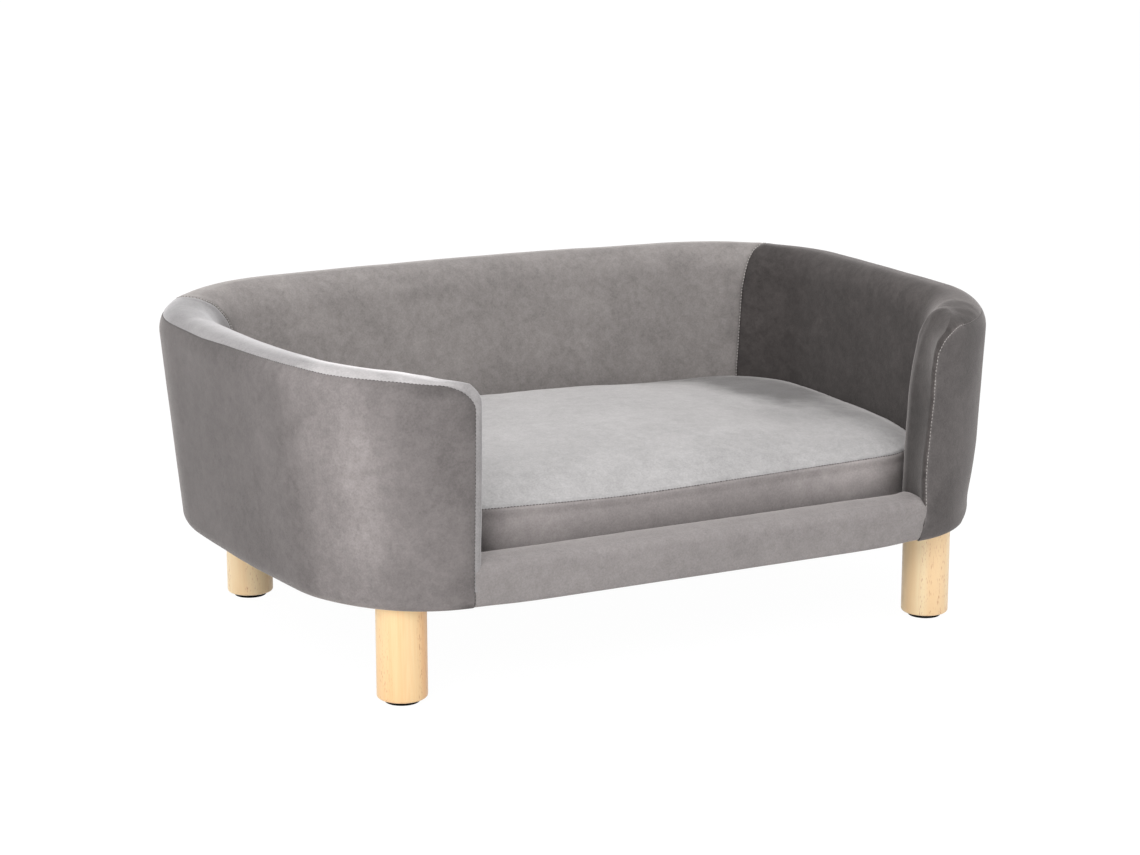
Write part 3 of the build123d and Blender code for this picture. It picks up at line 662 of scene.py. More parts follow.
def shaped_wall():
    """The whole wall's skin with its seams, gathers and folds, and the lines that its stitches follow."""
    work = Patchwork()
    lines = {side: wall_half(work, side) for side in (LEFT, RIGHT)}
    bm = work.skin()
    outer = next(f for f in bm.faces if f.material_index == OUTER and abs(f.calc_center_median().z - 200) < 5)
    middle = outer.calc_center_median()
    turned_over(bm, outer.normal.dot(Vector((middle.x, middle.y, 0))) < 0)
    spots, kinds = [], []
    for edge in bm.edges:
        if len({face.material_index for face in edge.link_faces}) > 1:
            a, b = (v.co.copy() for v in edge.verts)
            spots += [a.lerp(b, i / 4) for i in range(5)]
            kinds += [seam_kind(edge)] * 5
    seams = finder_of(spots)
    finder = finder_of([vert.co for vert in bm.verts])
    moves, nearest = [], []
    for vert in bm.verts:
        p, n = vert.co.copy(), vert.normal.copy()
        place, index, distance = seams.find(p)
        kind = kinds[index]
        nearest.append((kind, distance))
        depth, width = seam_forms[kind]
        lift = depth * smooth_bump(distance, width)
        if kind in (LEFT_SEAM, CORNER_SEAM):
            lift += 0.4 * smooth_bump(distance - 6, 4.5)
        pucker = noise.noise(place / 6) + 0.6 * noise.noise(place / 2.8)
        gather = crest_gather if kind == CREST_SEAM else seam_gather
        lift += gather * pucker * exp(-distance / 6) * (1 - exp(-distance / 1.5))
        lift += 0.8 * noise.noise(p / 95) + 0.3 * noise.noise(p / 38 + Vector((7, 3, 1)))
        lift += folds(p, wall_folds)
        if p.z < body_bottom + 3:
            lift *= tight_hem
        moves.append(p + n * lift)
    bm.verts.ensure_lookup_table()
    kind_layer, away_layer = bm.verts.layers.int.new("seam"), bm.verts.layers.float.new("away")
    for vert, place, (kind, distance) in zip(bm.verts, moves, nearest):
        vert[kind_layer], vert[away_layer] = kind, distance
        vert.co = place
    bm.normal_update()
    for runs in lines.values():
        for name, line in runs.items():
            runs[name] = follow(bm, finder, line)
    return bm, lines


def new_object(name, mesh):
    obj = bpy.data.objects.new(name, mesh)
    scene.collection.objects.link(obj)
    return obj


def mesh_of(name, bm):
    """A mesh in metres from a bmesh in millimetres."""
    bmesh.ops.scale(bm, vec=(MM, MM, MM), verts=bm.verts)
    mesh = bpy.data.meshes.new(name)
    bm.to_mesh(mesh)
    bm.free()
    mesh.polygons.foreach_set("use_smooth", [True] * len(mesh.polygons))
    return mesh


def settled(obj):
    """The object with its modifiers turned into plain mesh."""
    bpy.context.view_layer.update()
    graph = bpy.context.evaluated_depsgraph_get()
    mesh = bpy.data.meshes.new_from_object(obj.evaluated_get(graph))
    name = obj.name
    old = obj.data
    obj.modifiers.clear()
    obj.data = mesh
    bpy.data.meshes.remove(old)
    mesh.name = name
    return obj


def thickened(obj, thickness):
    """Closes an open skin by giving the cloth its thickness inwards."""
    cloth = obj.modifiers.new("cloth", "SOLIDIFY")
    cloth.thickness, cloth.offset, cloth.use_rim = thickness * MM, -1, True
    settled(obj)
    obj.data.set_sharp_from_angle(angle=radians(60))
    return obj


def cut_panels(bm, names):
    """One object for each panel of a skin."""
    pieces = {}
    for panel, name in names.items():
        part = bm.copy()
        others = [face for face in part.faces if face.material_index != panel]
        bmesh.ops.delete(part, geom=others, context="FACES")
        for face in part.faces:
            face.material_index = 0
        pile_and_light_layer = part.verts.layers.float.new("pile")
        kind_layer, away_layer = part.verts.layers.int["seam"], part.verts.layers.float["away"]
        # each point's tone: marks and seams that paint light and shade, and the pile's own lie
        for vert in part.verts:
            seam_shading = painted_seam_shading(panel, vert.co, vert[kind_layer], vert[away_layer])
            vert[pile_and_light_layer] = pile_and_light_tone(panel, vert.co, wall_pile_and_light_marks) + seam_shading
        part.verts.layers.int.remove(kind_layer)
        part.verts.layers.float.remove(part.verts.layers.float["away"])
        pieces[name] = thickened(new_object(name, mesh_of(name, part)), cover_thickness)
    bm.free()
    return pieces


# Front rail

# Depth of the rail's roll behind its top, how far the top comes down to the front, and how deep the cover is
# drawn in and how high it gathers at its ends
rail_roll, rail_slope, rail_seam_depth, rail_gather = 18, 1.5, 0.9, 1.3


def rail_profile():
    """Section of the rail in y and z, from the deck over the rolled top and down the front to the hem."""
    high_front, low_front = -Plan(rail_seam_z).front, -Plan(body_bottom).front
    back_y = low_front + rail_depth
    top_y = back_y - rail_roll
    rise = rail_crown_z - deck_z
    points = [(back_y, deck_z + rise * 0.6 * i / 8) for i in range(8)]
    for angle in (pi / 2 * i / 12 for i in range(13)):
        points.append((top_y + rail_roll * cos(angle), deck_z + rise * 0.6 + rise * 0.4 * sin(angle)))
    run = top_y - high_front - rail_round
    points += [(top_y - run * i / 4, rail_crown_z - rail_slope * (i / 4) ** 2) for i in range(1, 4)]
    shoulder = (high_front + rail_round, rail_crown_z - rail_slope - rail_round)
    points += [polar(shoulder, rail_round, pi / 2 + pi / 2 * i / 12) for i in range(13)]
    top_z, foot_z = shoulder[1], rail_foot_z + foot_round_front
    for share in (i / 10 for i in range(1, 10)):
        points.append((between(high_front, low_front, share), between(top_z, foot_z, share)))
    centre = (low_front + foot_round_front, foot_z)
    points += [polar(centre, foot_round_front, pi + pi / 2 * i / 7) for i in range(8)]
    last = points[-1][0]
    return points + [(between(last, back_y, i / 5), rail_foot_z) for i in range(1, 6)]


# Middle of the rail's section, in y and z, that the gathers run round
rail_middle = (-262, 130)


def rail_skin():
    """The rail's cover, gathered towards its ends, and fuller and tucked behind the right arm."""
    profile = rail_profile()
    whole = rail_ends[LEFT] + rail_ends[RIGHT]
    near = [s / 2 for s in steps(whole / 2, 0.8, 7.0)]
    shares = near + [1 - s for s in reversed(near[:-1])]
    across = [whole * s - rail_ends[LEFT] for s in shares]
    work = Patchwork()
    work.grid([[Vector((x, y, z)) for y, z in profile] for x in across], 0)
    bm = work.skin()
    face = next(f for f in bm.faces if f.calc_center_median().z > rail_crown_z - 0.5)
    turned_over(bm, face.normal.z < 0)
    moves = []
    for vert in bm.verts:
        p = vert.co
        side = RIGHT if p.x > 0 else LEFT
        reach = rail_ends[side] - abs(p.x)
        angle = atan2(p.z - rail_middle[1], p.y - rail_middle[0])
        lift = -rail_seam_depth * smooth_bump(reach, 2.2)
        gather = noise.noise(Vector((7 * angle, 0.02 * reach, 4 + side)))
        gather += 0.5 * noise.noise(Vector((17 * angle, side, 9)))
        top = 0.2 + 0.8 * smooth_bump(p.z - rail_crown_z + 4, 14)
        lift += rail_gather * top * gather * exp(-reach / 9) * (1 - exp(-reach / 2.5))
        lift += 0.6 * noise.noise(Vector((p.x / 120, p.y / 60, p.z / 60))) + 0.25 * noise.noise(p / 26)
        tuck = 0.0
        if side == RIGHT:
            lift += 2.0 * eased(p.z, 118, 140) * smooth_bump(reach, 9)
            tuck = (0.85 * read_off(outer_lean[RIGHT], p.z) + 1.0) * (1 - eased(reach, 0, 40))
        ends = smooth_bump(reach, 40)
        low = eased(rail_foot_z + 14 - p.z, 0, 14)
        rise = low * ends * (3.0 if side == RIGHT else 2.0)
        tight = tight_hem if p.z < rail_foot_z + 1 else 1
        moves.append(p + vert.normal * lift * tight + Vector((tuck, 0, rise)))
    for vert, place in zip(bm.verts, moves):
        vert.co = place
    return thickened(new_object("front_rail", mesh_of("front_rail", bm)), cover_thickness)


# Seat cushion

def cushion_facts(z):
    """The tub's plan that the cushion follows at height z, and the line of the cushion's straight back."""
    seat = Plan(seat_z)
    return Plan(min(z, cushion_seam_z)), seat.back_centre[1] + seat.back_radius - cushion_inset


def cushion_loop(z, inset):
    """Closed outline of the cushion at an inset, walked from the middle of the front, at height z."""
    plan, back_y = cushion_facts(z)
    full = cushion_inset + inset
    end_y = full - plan.front
    bow_y = rail_depth + rail_gap + inset - plan.front
    sag = end_y - bow_y
    reach = plan.corner_x
    bow_radius = (reach ** 2 + sag ** 2) / (2 * sag)
    open_angle = asin(reach / bow_radius)
    bow = (0.0, bow_y + bow_radius)
    half = [polar(bow, bow_radius, -pi / 2 + open_angle * s) for s in [0.0] + parts_of(58)]
    half += arc(plan.front_centre, plan.front_radius - full, -pi / 2, plan.side_start, parts_of(36))
    radius = plan.side_radius - full
    half += [polar(plan.side_centre, radius, plan.side_start * (1 - s)) for s in parts_of(50)]
    widest_y = plan.back_centre[1]
    radius = back_y - inset - widest_y
    centre = (plan.half - full - radius, widest_y)
    half += arc(centre, radius, 0, pi / 2, parts_of(40))
    half += [(centre[0] * (1 - s), widest_y + radius) for s in parts_of(40)]
    return both_sides(half, z)


def crown_z(reach):
    """Height of the plain crown at a distance inwards from the seam."""
    return cushion_seam_z + crown * sqrt(1 - (1 - min(1.0, reach / crown_run)) ** 2)


TOP, BAND, SOLE = range(3)
# The most that the swollen foam moves and how far from the back and from the sole it may, in metres, and the
# last frame of its swelling
swell_limit, back_fade, sole_fade, swell_frames = 0.0045, 0.05, 0.02, 20
# Width of the rows of faces along the top's and the sole's seam
rim_width, sole_rim = 34, 12
# Depth and width of the cushion's seams, the swell beside them, how high the cloth puckers, and how far the
# front edge's own height reaches
cushion_seam_depth, cushion_seam_width, cushion_swell, cushion_gather, front_reach = 1.1, 1.3, 0.5, 0.5, 90
# Painted shade and light on the cushion: painted shade over the top's right and back towards the walls and at
# the boxing's left end under the arm, painted light along the boxing's right part, and small changes of tone
# where the pile lies another way: panel, place, spread along the axes and change of tone
cushion_pile_and_light_marks = [
    (TOP, (275, 72, 206), (60, 120, 60), -0.82),
    (TOP, (200, 196, 200), (130, 60, 60), -0.6),
    (TOP, (300, -20, 206), (50, 110, 60), -0.24),
    (TOP, (235, -85, 206), (70, 60, 60), -0.2),
    (TOP, (300, -150, 200), (36, 80, 60), -0.24),
    (TOP, (-40, -70, 206), (110, 60, 40), 0.06),
    (BAND, (-246, -236, 155), (42, 60, 60), -0.7),
    (BAND, (235, -232, 168), (80, 70, 30), 0.5),
    (BAND, (-165, -236, 158), (50, 60, 40), 0.16),
]


def cushion_pushed():
    """The foam block swollen in its cover by a cloth simulation, as a tree for finding its surface."""
    source = nodes["cushion_foam"].data
    bm = bmesh.new()
    bm.from_mesh(source)
    bmesh.ops.remove_doubles(bm, verts=bm.verts, dist=1e-5)
    mesh = bpy.data.meshes.new("cushion_draft")
    bm.to_mesh(mesh)
    bm.free()
    draft = new_object("cushion_draft", mesh)
    remesh = draft.modifiers.new("even", "REMESH")
    remesh.mode, remesh.voxel_size = "VOXEL", 0.006
    settled(draft)
    before = [v.co.copy() for v in draft.data.vertices]
    cloth = draft.modifiers.new("swell", "CLOTH")
    cloth.settings.effector_weights.gravity = 0
    given = {"use_pressure": True, "uniform_pressure_force": 4.0, "quality": 5, "tension_stiffness": 12,
             "compression_stiffness": 12, "bending_stiffness": 0.4}
    for name, value in given.items():
        setattr(cloth.settings, name, value)
    cloth.point_cache.frame_start, cloth.point_cache.frame_end = 1, swell_frames
    for number in range(1, swell_frames + 1):
        scene.frame_set(number)
    settled(draft)
    scene.frame_set(1)
    back_y = cushion_facts(seat_z)[1] * MM
    moved = []
    for old, new in zip(before, (v.co.copy() for v in draft.data.vertices)):
        limit = swell_limit * min(1.0, max(0.08, (back_y - old.y) / back_fade))
        limit *= min(1.0, max(0.1, (old.z - seat_z * MM) / sole_fade))
        push = new - old
        if push.length > limit:
            push *= limit / push.length
        moved.append(old + push)
    faces = [tuple(p.vertices) for p in draft.data.polygons]
    tree = BVHTree.FromPolygons([p / MM for p in moved], faces)
    bpy.data.objects.remove(draft)
    return tree


def cushion_piece():
    """The whole cushion: boxing, crowned top and flat sole, sewn at two seams."""
    tree = cushion_pushed()
    work = Patchwork()
    rise = backwards(steps(boxing / 2, 0.8, 2.6))
    heights = [s * 0.5 for s in backwards(rise)] + [0.5 + 0.5 * s for s in rise[1:]]
    band = []
    for share in heights:
        z = seat_z + boxing * share
        band.append(cushion_loop(z, cushion_draw * (1 - sin(pi * share))))
    top = []
    for reach in (rim_width * s for s in steps(rim_width, 0.8, 4.0)):
        ring = cushion_loop(cushion_seam_z, cushion_draw + reach)
        top.append([Vector((p.x, p.y, crown_z(reach))) for p in ring])
    sole = [cushion_loop(seat_z, cushion_draw + sole_rim * s) for s in steps(sole_rim, 1.0, 4.0)]
    for rows, panel in ((band, BAND), (top, TOP), (sole, SOLE)):
        work.grid([row + row[:1] for row in rows], panel)
    rim_z, rim = top[-1][0].z, finder_of(top[-1])
    work.fill(top[-1], 6.0, TOP, lambda p: crown_z(rim_width + rim.find(Vector((p.x, p.y, rim_z)))[2]))
    work.fill(sole[-1], 12.0, SOLE, lambda p: seat_z)
    bm = work.skin(weld=0.05)
    loops = {"top": band[-1], "sole": band[0]}
    spots = []
    for ring in loops.values():
        for p, after in zip(ring, ring[1:] + ring[:1]):
            spots += [p.lerp(after, j / 4) for j in range(4)]
    seams = finder_of(spots)
    finder = finder_of([vert.co for vert in bm.verts])
    back_y = cushion_facts(seat_z)[1]
    moves = []
    front_y = -Plan(seat_z).front + rail_depth + rail_gap
    for vert in bm.verts:
        p, n = vert.co.copy(), vert.normal.copy()
        place, _, distance = seams.find(p)
        if p.z > seat_z + 2:
            near, _, _, far = tree.find_nearest(p)
            if near and far < 12:
                out = min(1.0, distance / 10)
                p = p.lerp(near + n * cover_thickness, 0.25 + 0.75 * out)
        lift = -cushion_seam_depth * smooth_bump(distance, cushion_seam_width)
        lift += cushion_swell * smooth_bump(distance - 6, 4)
        pucker = noise.noise(place / 6.5) + 0.5 * noise.noise(place / 3)
        lift += cushion_gather * pucker * exp(-distance / 8) * (1 - exp(-distance / 1.6))
        flat = 0.25 if vert.co.z < seat_z + 3 else 1.0
        at_back = min(1.0, max(0.15, (back_y - vert.co.y) / 30))
        lift += flat * at_back * (1.5 * noise.noise(vert.co / 110) + 0.5 * noise.noise(vert.co / 42))
        height = min(1.0, max(0.0, (p.z - seat_z) / boxing))
        front = smooth_bump(p.y - front_y, front_reach)
        if p.z > cushion_seam_z:
            # flatter on the right and behind
            flatter = 0.5 * eased(p.x, 40, 250) + 0.2 * eased(p.y, 20, 150)
            p.z -= (p.z - cushion_seam_z) * flatter
        shift = between(seat_raise, read_off(seat_front, p.x), front)
        place = p + n * lift + Vector((0, 0, height * shift))
        place.z = max(place.z, seat_z)
        moves.append(place)
    bm.verts.ensure_lookup_table()
    pile_and_light_layer = bm.verts.layers.float.new("pile")
    # each point's tone from the marks, most of them painted shade and light
    for vert, place in zip(bm.verts, moves):
        vert.co = place
        panel = min(face.material_index for face in vert.link_faces)
        vert[pile_and_light_layer] = pile_and_light_tone(panel, place, cushion_pile_and_light_marks, 0.5)
    bm.normal_update()
    lines = {name: follow(bm, finder, ring + ring[:1]) for name, ring in loops.items()}
    return new_object("cushion", mesh_of("cushion", bm)), lines


# Thin cloths of the underside and the deck

def cloth_from(name, ring, z, spacing, ripple):
    """A flat cloth cut to a ring, with faint ripples."""
    points, faces = spread_inside(ring, spacing)
    bm = bmesh.new()
    corners = []
    for p in points:
        wave = noise.noise(Vector((p.x / 60, p.y / 60, 5)))
        wave += 0.4 * noise.noise(Vector((p.x / 22, p.y / 22, 2)))
        corners.append(bm.verts.new((p.x, p.y, z + ripple * wave)))
    for face in faces:
        bm.faces.new([corners[i] for i in face])
    bmesh.ops.recalc_face_normals(bm, faces=bm.faces)
    turned_over(bm, sum(f.normal.z for f in bm.faces) < 0)
    return new_object(name, mesh_of(name, bm))


def closed_ring(z, inset):
    """Whole outline at height z with its straight front, at an inset."""
    plan = Plan(z)
    half = outline(plan, inset, -pi / 2, radians(40), front_shares[::4] + [1.0])
    return both_sides([(plan.corner_x * (i / 20), inset - plan.front) for i in range(20)] + half, z)


def deck_ring(z, inset):
    """Outline of the well with its mouth up to the rail."""
    plan = Plan(z)
    full = wall_thickness + inset
    radius = plan.front_radius - full
    reach = opening_half - inset
    start = asin((reach - plan.corner_x) / radius) - pi / 2
    half = outline(plan, full, start, radians(40), front_shares[::4] + [1.0])
    mouth_y = rail_depth + inset - Plan(body_bottom).front
    return both_sides([(reach * i / 20, mouth_y) for i in range(21)] + half, z)


# Stitching and the zip's coil

def wire(tree, node, inputs):
    """Gives a node its inputs: a link from another node, or a plain value."""
    for key, value in inputs.items():
        if isinstance(value, bpy.types.NodeSocket):
            tree.links.new(value, node.inputs[key])
        else:
            node.inputs[key].default_value = value


def add_node(tree, kind, inputs=None, **settings):
    made = tree.nodes.new(kind)
    for key, value in settings.items():
        setattr(made, key, value)
    wire(tree, made, inputs or {})
    return made


def repeat_tree(name, ring):
    """Node tree that lays stitches, or coil turns, at even steps along the object's edges."""
    tree = bpy.data.node_groups.new(name, "GeometryNodeTree")
    sockets = [("Line", "Geometry"), ("Step", "Float"), ("Length", "Float"), ("Thickness", "Float"),
               ("Unevenness", "Float"), ("Seed", "Int"), ("Finish", "Material")]
    for label, kind in sockets:
        tree.interface.new_socket(label, in_out="INPUT", socket_type="NodeSocket" + kind)
    tree.interface.new_socket("Result", in_out="OUTPUT", socket_type="NodeSocketGeometry")
    given = tree.nodes.new("NodeGroupInput").outputs
    curve = add_node(tree, "GeometryNodeMeshToCurve", {"Mesh": given["Line"]})
    spots = add_node(tree, "GeometryNodeCurveToPoints", {"Curve": curve.outputs[0], "Length": given["Step"]},
                     mode="LENGTH")
    if ring:
        turn, strand = (
            add_node(tree, "GeometryNodeCurvePrimitiveCircle", {"Resolution": sides, "Radius": radius},
                     mode="RADIUS").outputs[0] for sides, radius in ((10, 1.0), (5, 0.24)))
        shape = add_node(tree, "GeometryNodeCurveToMesh", {"Curve": turn, "Profile Curve": strand})
    else:
        shape = add_node(tree, "GeometryNodeMeshUVSphere", {"Segments": 6, "Rings": 5, "Radius": 1.0})
    half = math(tree, "MULTIPLY", given["Length"], 0.5)
    thick = math(tree, "MULTIPLY", given["Thickness"], 0.5)
    size = add_node(tree, "ShaderNodeCombineXYZ", {0: thick, 1: thick, 2: half})
    less = math(tree, "SUBTRACT", 1.0, given["Unevenness"])
    more = math(tree, "ADD", 1.0, given["Unevenness"])
    vary = add_node(tree, "FunctionNodeRandomValue", {"Seed": given["Seed"], 2: less, 3: more},
                    data_type="FLOAT")
    scaled = add_node(tree, "ShaderNodeVectorMath", {0: size.outputs[0], "Scale": vary.outputs[1]},
                      operation="SCALE")
    placed = add_node(tree, "GeometryNodeInstanceOnPoints", {
        "Points": spots.outputs["Points"], "Instance": shape.outputs[0],
        "Rotation": spots.outputs["Rotation"], "Scale": scaled.outputs[0]})
    real = add_node(tree, "GeometryNodeRealizeInstances", {"Geometry": placed.outputs[0]})
    smooth = add_node(tree, "GeometryNodeSetShadeSmooth", {"Geometry": real.outputs[0]})
    painted = add_node(tree, "GeometryNodeSetMaterial",
                       {"Geometry": smooth.outputs[0], "Material": given["Finish"]})
    result = tree.nodes.new("NodeGroupOutput")
    tree.links.new(painted.outputs[0], result.inputs[0])
    return tree


def laid_along(name, lines, tree, values):
    """A mesh of repeated shapes along lines of points, made by the node tree and then fixed."""
    mesh = bpy.data.meshes.new(name)
    points, edges = [], []
    for line in lines:
        base = len(points)
        points += [p * MM for p in line]
        edges += [(base + i, base + i + 1) for i in range(len(line) - 1)]
    mesh.from_pydata(points, edges, [])
    obj = new_object(name, mesh)
    made = obj.modifiers.new("repeat", "NODES")
    made.node_group = tree
    for item in tree.interface.items_tree:
        if item.in_out == "INPUT" and item.name in values:
            made[item.identifier] = values[item.name]
    return settled(obj)


# Finishes

def new_group(name, inputs, outputs):
    tree = bpy.data.node_groups.new(name, "ShaderNodeTree")
    for label, kind in inputs:
        tree.interface.new_socket(label, in_out="INPUT", socket_type="NodeSocket" + kind)
    for label, kind in outputs:
        tree.interface.new_socket(label, in_out="OUTPUT", socket_type="NodeSocket" + kind)
    return tree, tree.nodes.new("NodeGroupInput").outputs, tree.nodes.new("NodeGroupOutput").inputs


def math(tree, operation, a, b=None, c=None):
    values = {i: v for i, v in enumerate((a, b, c)) if v is not None}
    return add_node(tree, "ShaderNodeMath", values, operation=operation).outputs[0]


def stretched(tree, vector, scale):
    return add_node(tree, "ShaderNodeVectorMath", {0: vector, 1: scale}, operation="MULTIPLY").outputs[0]


def noise_value(tree, vector, scale, detail=2.0, rough=0.5, distortion=0.0):
    made = add_node(tree, "ShaderNodeTexNoise", {"Vector": vector, "Scale": scale, "Detail": detail,
                                                 "Roughness": rough, "Distortion": distortion})
    return made.outputs[0]


def ranged(tree, value, low, high, to_low, to_high):
    made = add_node(tree, "ShaderNodeMapRange", {0: value, 1: low, 2: high, 3: to_low, 4: to_high})
    made.interpolation_type = "SMOOTHSTEP"
    return made.outputs[0]


def nap_group():
    """Short pile that lies this way and that: broad soft patches, brushed streaks and a fine grain."""
    inputs = [("Place", "Vector"), ("Patch", "Float"), ("Streak", "Float"), ("Grain", "Float")]
    tree, given, out = new_group("pile", inputs, [("Tone", "Float"), ("Height", "Float")])
    broad = noise_value(tree, given["Place"], 8.5, 2.0, 0.45, 0.6)
    middle = noise_value(tree, given["Place"], 30.0, 4.0, 0.62, 0.6)
    small = noise_value(tree, given["Place"], 120.0, 3.0, 0.7, 0.3)
    brushed = noise_value(tree, stretched(tree, given["Place"], (46.0, 46.0, 9.0)), 1.0, 3.0, 0.55, 0.8)
    fine = noise_value(tree, given["Place"], 520.0, 2.0, 0.7)
    finest = noise_value(tree, given["Place"], 1700.0, 1.0, 0.6)
    tone = math(tree, "MULTIPLY", ranged(tree, broad, 0.3, 0.7, -0.22, 0.22), given["Patch"])
    middle, small = ranged(tree, middle, 0.3, 0.7, -0.3, 0.3), ranged(tree, small, 0.3, 0.7, -0.4, 0.4)
    finer = math(tree, "ADD", middle, small)
    more = math(tree, "MULTIPLY", finer, given["Patch"])
    streak = math(tree, "MULTIPLY", ranged(tree, brushed, 0.32, 0.68, -0.5, 0.5), given["Streak"])
    grain = math(tree, "MULTIPLY", math(tree, "SUBTRACT", fine, 0.5), given["Grain"])
    total = math(tree, "ADD", math(tree, "ADD", tone, more), math(tree, "ADD", streak, grain))
    tree.links.new(math(tree, "ADD", total, 1.0), out["Tone"])
    tree.links.new(math(tree, "MULTIPLY_ADD", finest, 0.5, fine), out["Height"])
    return tree


def figure_group():
    """Straight-grained wood along Z: soft bands, fine lines and short pores."""
    tree, given, out = new_group("figure", [("Place", "Vector"), ("Band", "Float")],
                                 [("Band", "Float"), ("Line", "Float"), ("Pore", "Float")])
    bands = noise_value(tree, stretched(tree, given["Place"], (1.0, 1.0, 0.07)), given["Band"], 3.0, 0.5, 0.5)
    lines = noise_value(tree, stretched(tree, given["Place"], (1.0, 1.0, 0.035)), 620.0, 2.0, 0.6, 0.2)
    pores = noise_value(tree, stretched(tree, given["Place"], (1.0, 1.0, 0.2)), 900.0, 1.0, 0.5)
    where = noise_value(tree, stretched(tree, given["Place"], (1.0, 1.0, 0.06)), 62.0, 1.0, 0.5)
    pores, where = ranged(tree, pores, 0.59, 0.72, 0.0, 1.0), ranged(tree, where, 0.47, 0.6, 0.0, 1.0)
    fleck = math(tree, "MULTIPLY", pores, where)
    tree.links.new(ranged(tree, bands, 0.3, 0.7, 0.0, 1.0), out["Band"])
    tree.links.new(lines, out["Line"])
    tree.links.new(fleck, out["Pore"])
    return tree


def scratch_group():
    """Small uneven marks for plated metal, plastic and board."""
    tree, given, out = new_group("marks", [("Place", "Vector"), ("Scale", "Float")], [("Mark", "Float")])
    tree.links.new(noise_value(tree, given["Place"], given["Scale"], 4.0, 0.65), out["Mark"])
    return tree


pile, figure, marks = nap_group(), figure_group(), scratch_group()


def new_material(name):
    made = bpy.data.materials.new(name)
    made.use_nodes = True
    tree = made.node_tree
    shader = tree.nodes["Principled BSDF"]
    place = tree.nodes.new("ShaderNodeTexCoord").outputs["Object"]
    return made, tree, shader, place


def grouped(tree, group, inputs):
    return add_node(tree, "ShaderNodeGroup", inputs, node_tree=group).outputs


def mixed(tree, factor, a, b, blend="MIX"):
    values = {0: factor, 6: a, 7: b}
    return add_node(tree, "ShaderNodeMix", values, data_type="RGBA", blend_type=blend).outputs[2]


def bumped(tree, height, strength, depth):
    values = {"Height": height, "Strength": strength, "Distance": depth}
    return add_node(tree, "ShaderNodeBump", values).outputs[0]


def linear(value):
    value /= 255
    return value / 12.92 if value <= 0.04045 else ((value + 0.055) / 1.055) ** 2.4


def colour(r, g, b):
    """A colour given as it looks on a screen, 0 to 255."""
    return (linear(r), linear(g), linear(b), 1.0)


# A velvet's drift, where it paints light and shade, runs this far, in metres, to each side of the middle
drift_half = 0.45


def velvet(name, tone, patch=0.2, streak=0.05, grain=0.5, turn=(0.0, 0.0, 0.0), sheen=0.4, rim=(0.6, 0.35),
           drift=None, along=(1.0, 0.0, 0.0), bloom=(235, 230, 228)):
    """Short-pile velvet, with a painted sheen: its colour lighter where it is seen edge on.

    rim gives where that painted sheen starts and how much it adds, and bloom the colour of the pile's tips.
    drift is painted light and shade, the tone's change in one direction: pairs of place in metres and tone.
    """
    made, tree, shader, place = new_material(name)
    spun = add_node(tree, "ShaderNodeMapping", {"Vector": place, "Rotation": turn}).outputs[0]
    nap = grouped(tree, pile, {"Place": spun, "Patch": patch, "Streak": streak, "Grain": grain})
    # the marks' tone from the mesh, painted light and shade among it
    marked = add_node(tree, "ShaderNodeAttribute", attribute_name="pile").outputs["Fac"]
    level = math(tree, "MULTIPLY", nap["Tone"], math(tree, "ADD", marked, 1.0))
    # painted sheen: the colour grows lighter where the surface is seen edge on
    facing = add_node(tree, "ShaderNodeLayerWeight", {"Blend": 0.5}).outputs["Facing"]
    level = math(tree, "MULTIPLY", level, ranged(tree, facing, rim[0], 1.0, 1.0, 1.0 + rim[1]))
    # painted light and shade along one direction, fading to an even tone behind
    if drift:
        across = add_node(tree, "ShaderNodeVectorMath", {0: place, 1: along}, operation="DOT_PRODUCT")
        wander = noise_value(tree, place, 13.0, 3.0, 0.55, 0.5)
        at = math(tree, "MULTIPLY_ADD", math(tree, "SUBTRACT", wander, 0.5), 0.065, across.outputs["Value"])
        ends = {1: -drift_half, 2: drift_half, 3: 0.0, 4: 1.0}
        spread = add_node(tree, "ShaderNodeMapRange", {0: at, **ends}).outputs[0]
        ramp = add_node(tree, "ShaderNodeValToRGB", {0: spread})
        ramp.color_ramp.interpolation = "EASE"
        stops = ramp.color_ramp.elements
        while len(stops) < len(drift):
            stops.new(0.5)
        for stop, (where, value) in zip(stops, drift):
            stop.position = (where + drift_half) / (2 * drift_half)
            stop.color = (value / 2, value / 2, value / 2, 1.0)
        shown = math(tree, "MULTIPLY", ramp.outputs[0], 2.0)
        depth = add_node(tree, "ShaderNodeSeparateXYZ", {0: place}).outputs[1]
        behind = ranged(tree, depth, *back_starts, 0.0, 1.0)
        shown = math(tree, "MULTIPLY_ADD", behind, math(tree, "SUBTRACT", back_tone, shown), shown)
        level = math(tree, "MULTIPLY", level, shown)
    grey = add_node(tree, "ShaderNodeCombineColor", {0: level, 1: level, 2: level}).outputs[0]
    wire(tree, shader, {
        "Base Color": mixed(tree, 1.0, colour(*tone), grey, "MULTIPLY"), "Roughness": 0.9,
        "Specular IOR Level": 0.15, "Sheen Weight": sheen, "Sheen Roughness": 0.38,
        "Sheen Tint": colour(*bloom), "Normal": bumped(tree, nap["Height"], 0.35, 0.0005)})
    return made


def wood(name, light, dark, pore, band=38.0, rough=0.42, coat=0.25):
    """Straight-grained wood from the colours of its light and dark bands and its pores."""
    made, tree, shader, place = new_material(name)
    light, dark, pore = colour(*light), colour(*dark), colour(*pore)
    grain = grouped(tree, figure, {"Place": place, "Band": band})
    base = mixed(tree, grain["Band"], light, dark)
    fine = mixed(tree, ranged(tree, grain["Line"], 0.42, 0.66, 0.0, 0.35), base, dark)
    wire(tree, shader, {
        "Base Color": mixed(tree, math(tree, "MULTIPLY", grain["Pore"], 0.6), fine, pore),
        "Roughness": ranged(tree, grain["Line"], 0.3, 0.7, rough, rough + 0.12),
        "Coat Weight": coat, "Coat Roughness": 0.3, "Normal": bumped(tree, grain["Line"], 0.12, 0.0003)})
    return made


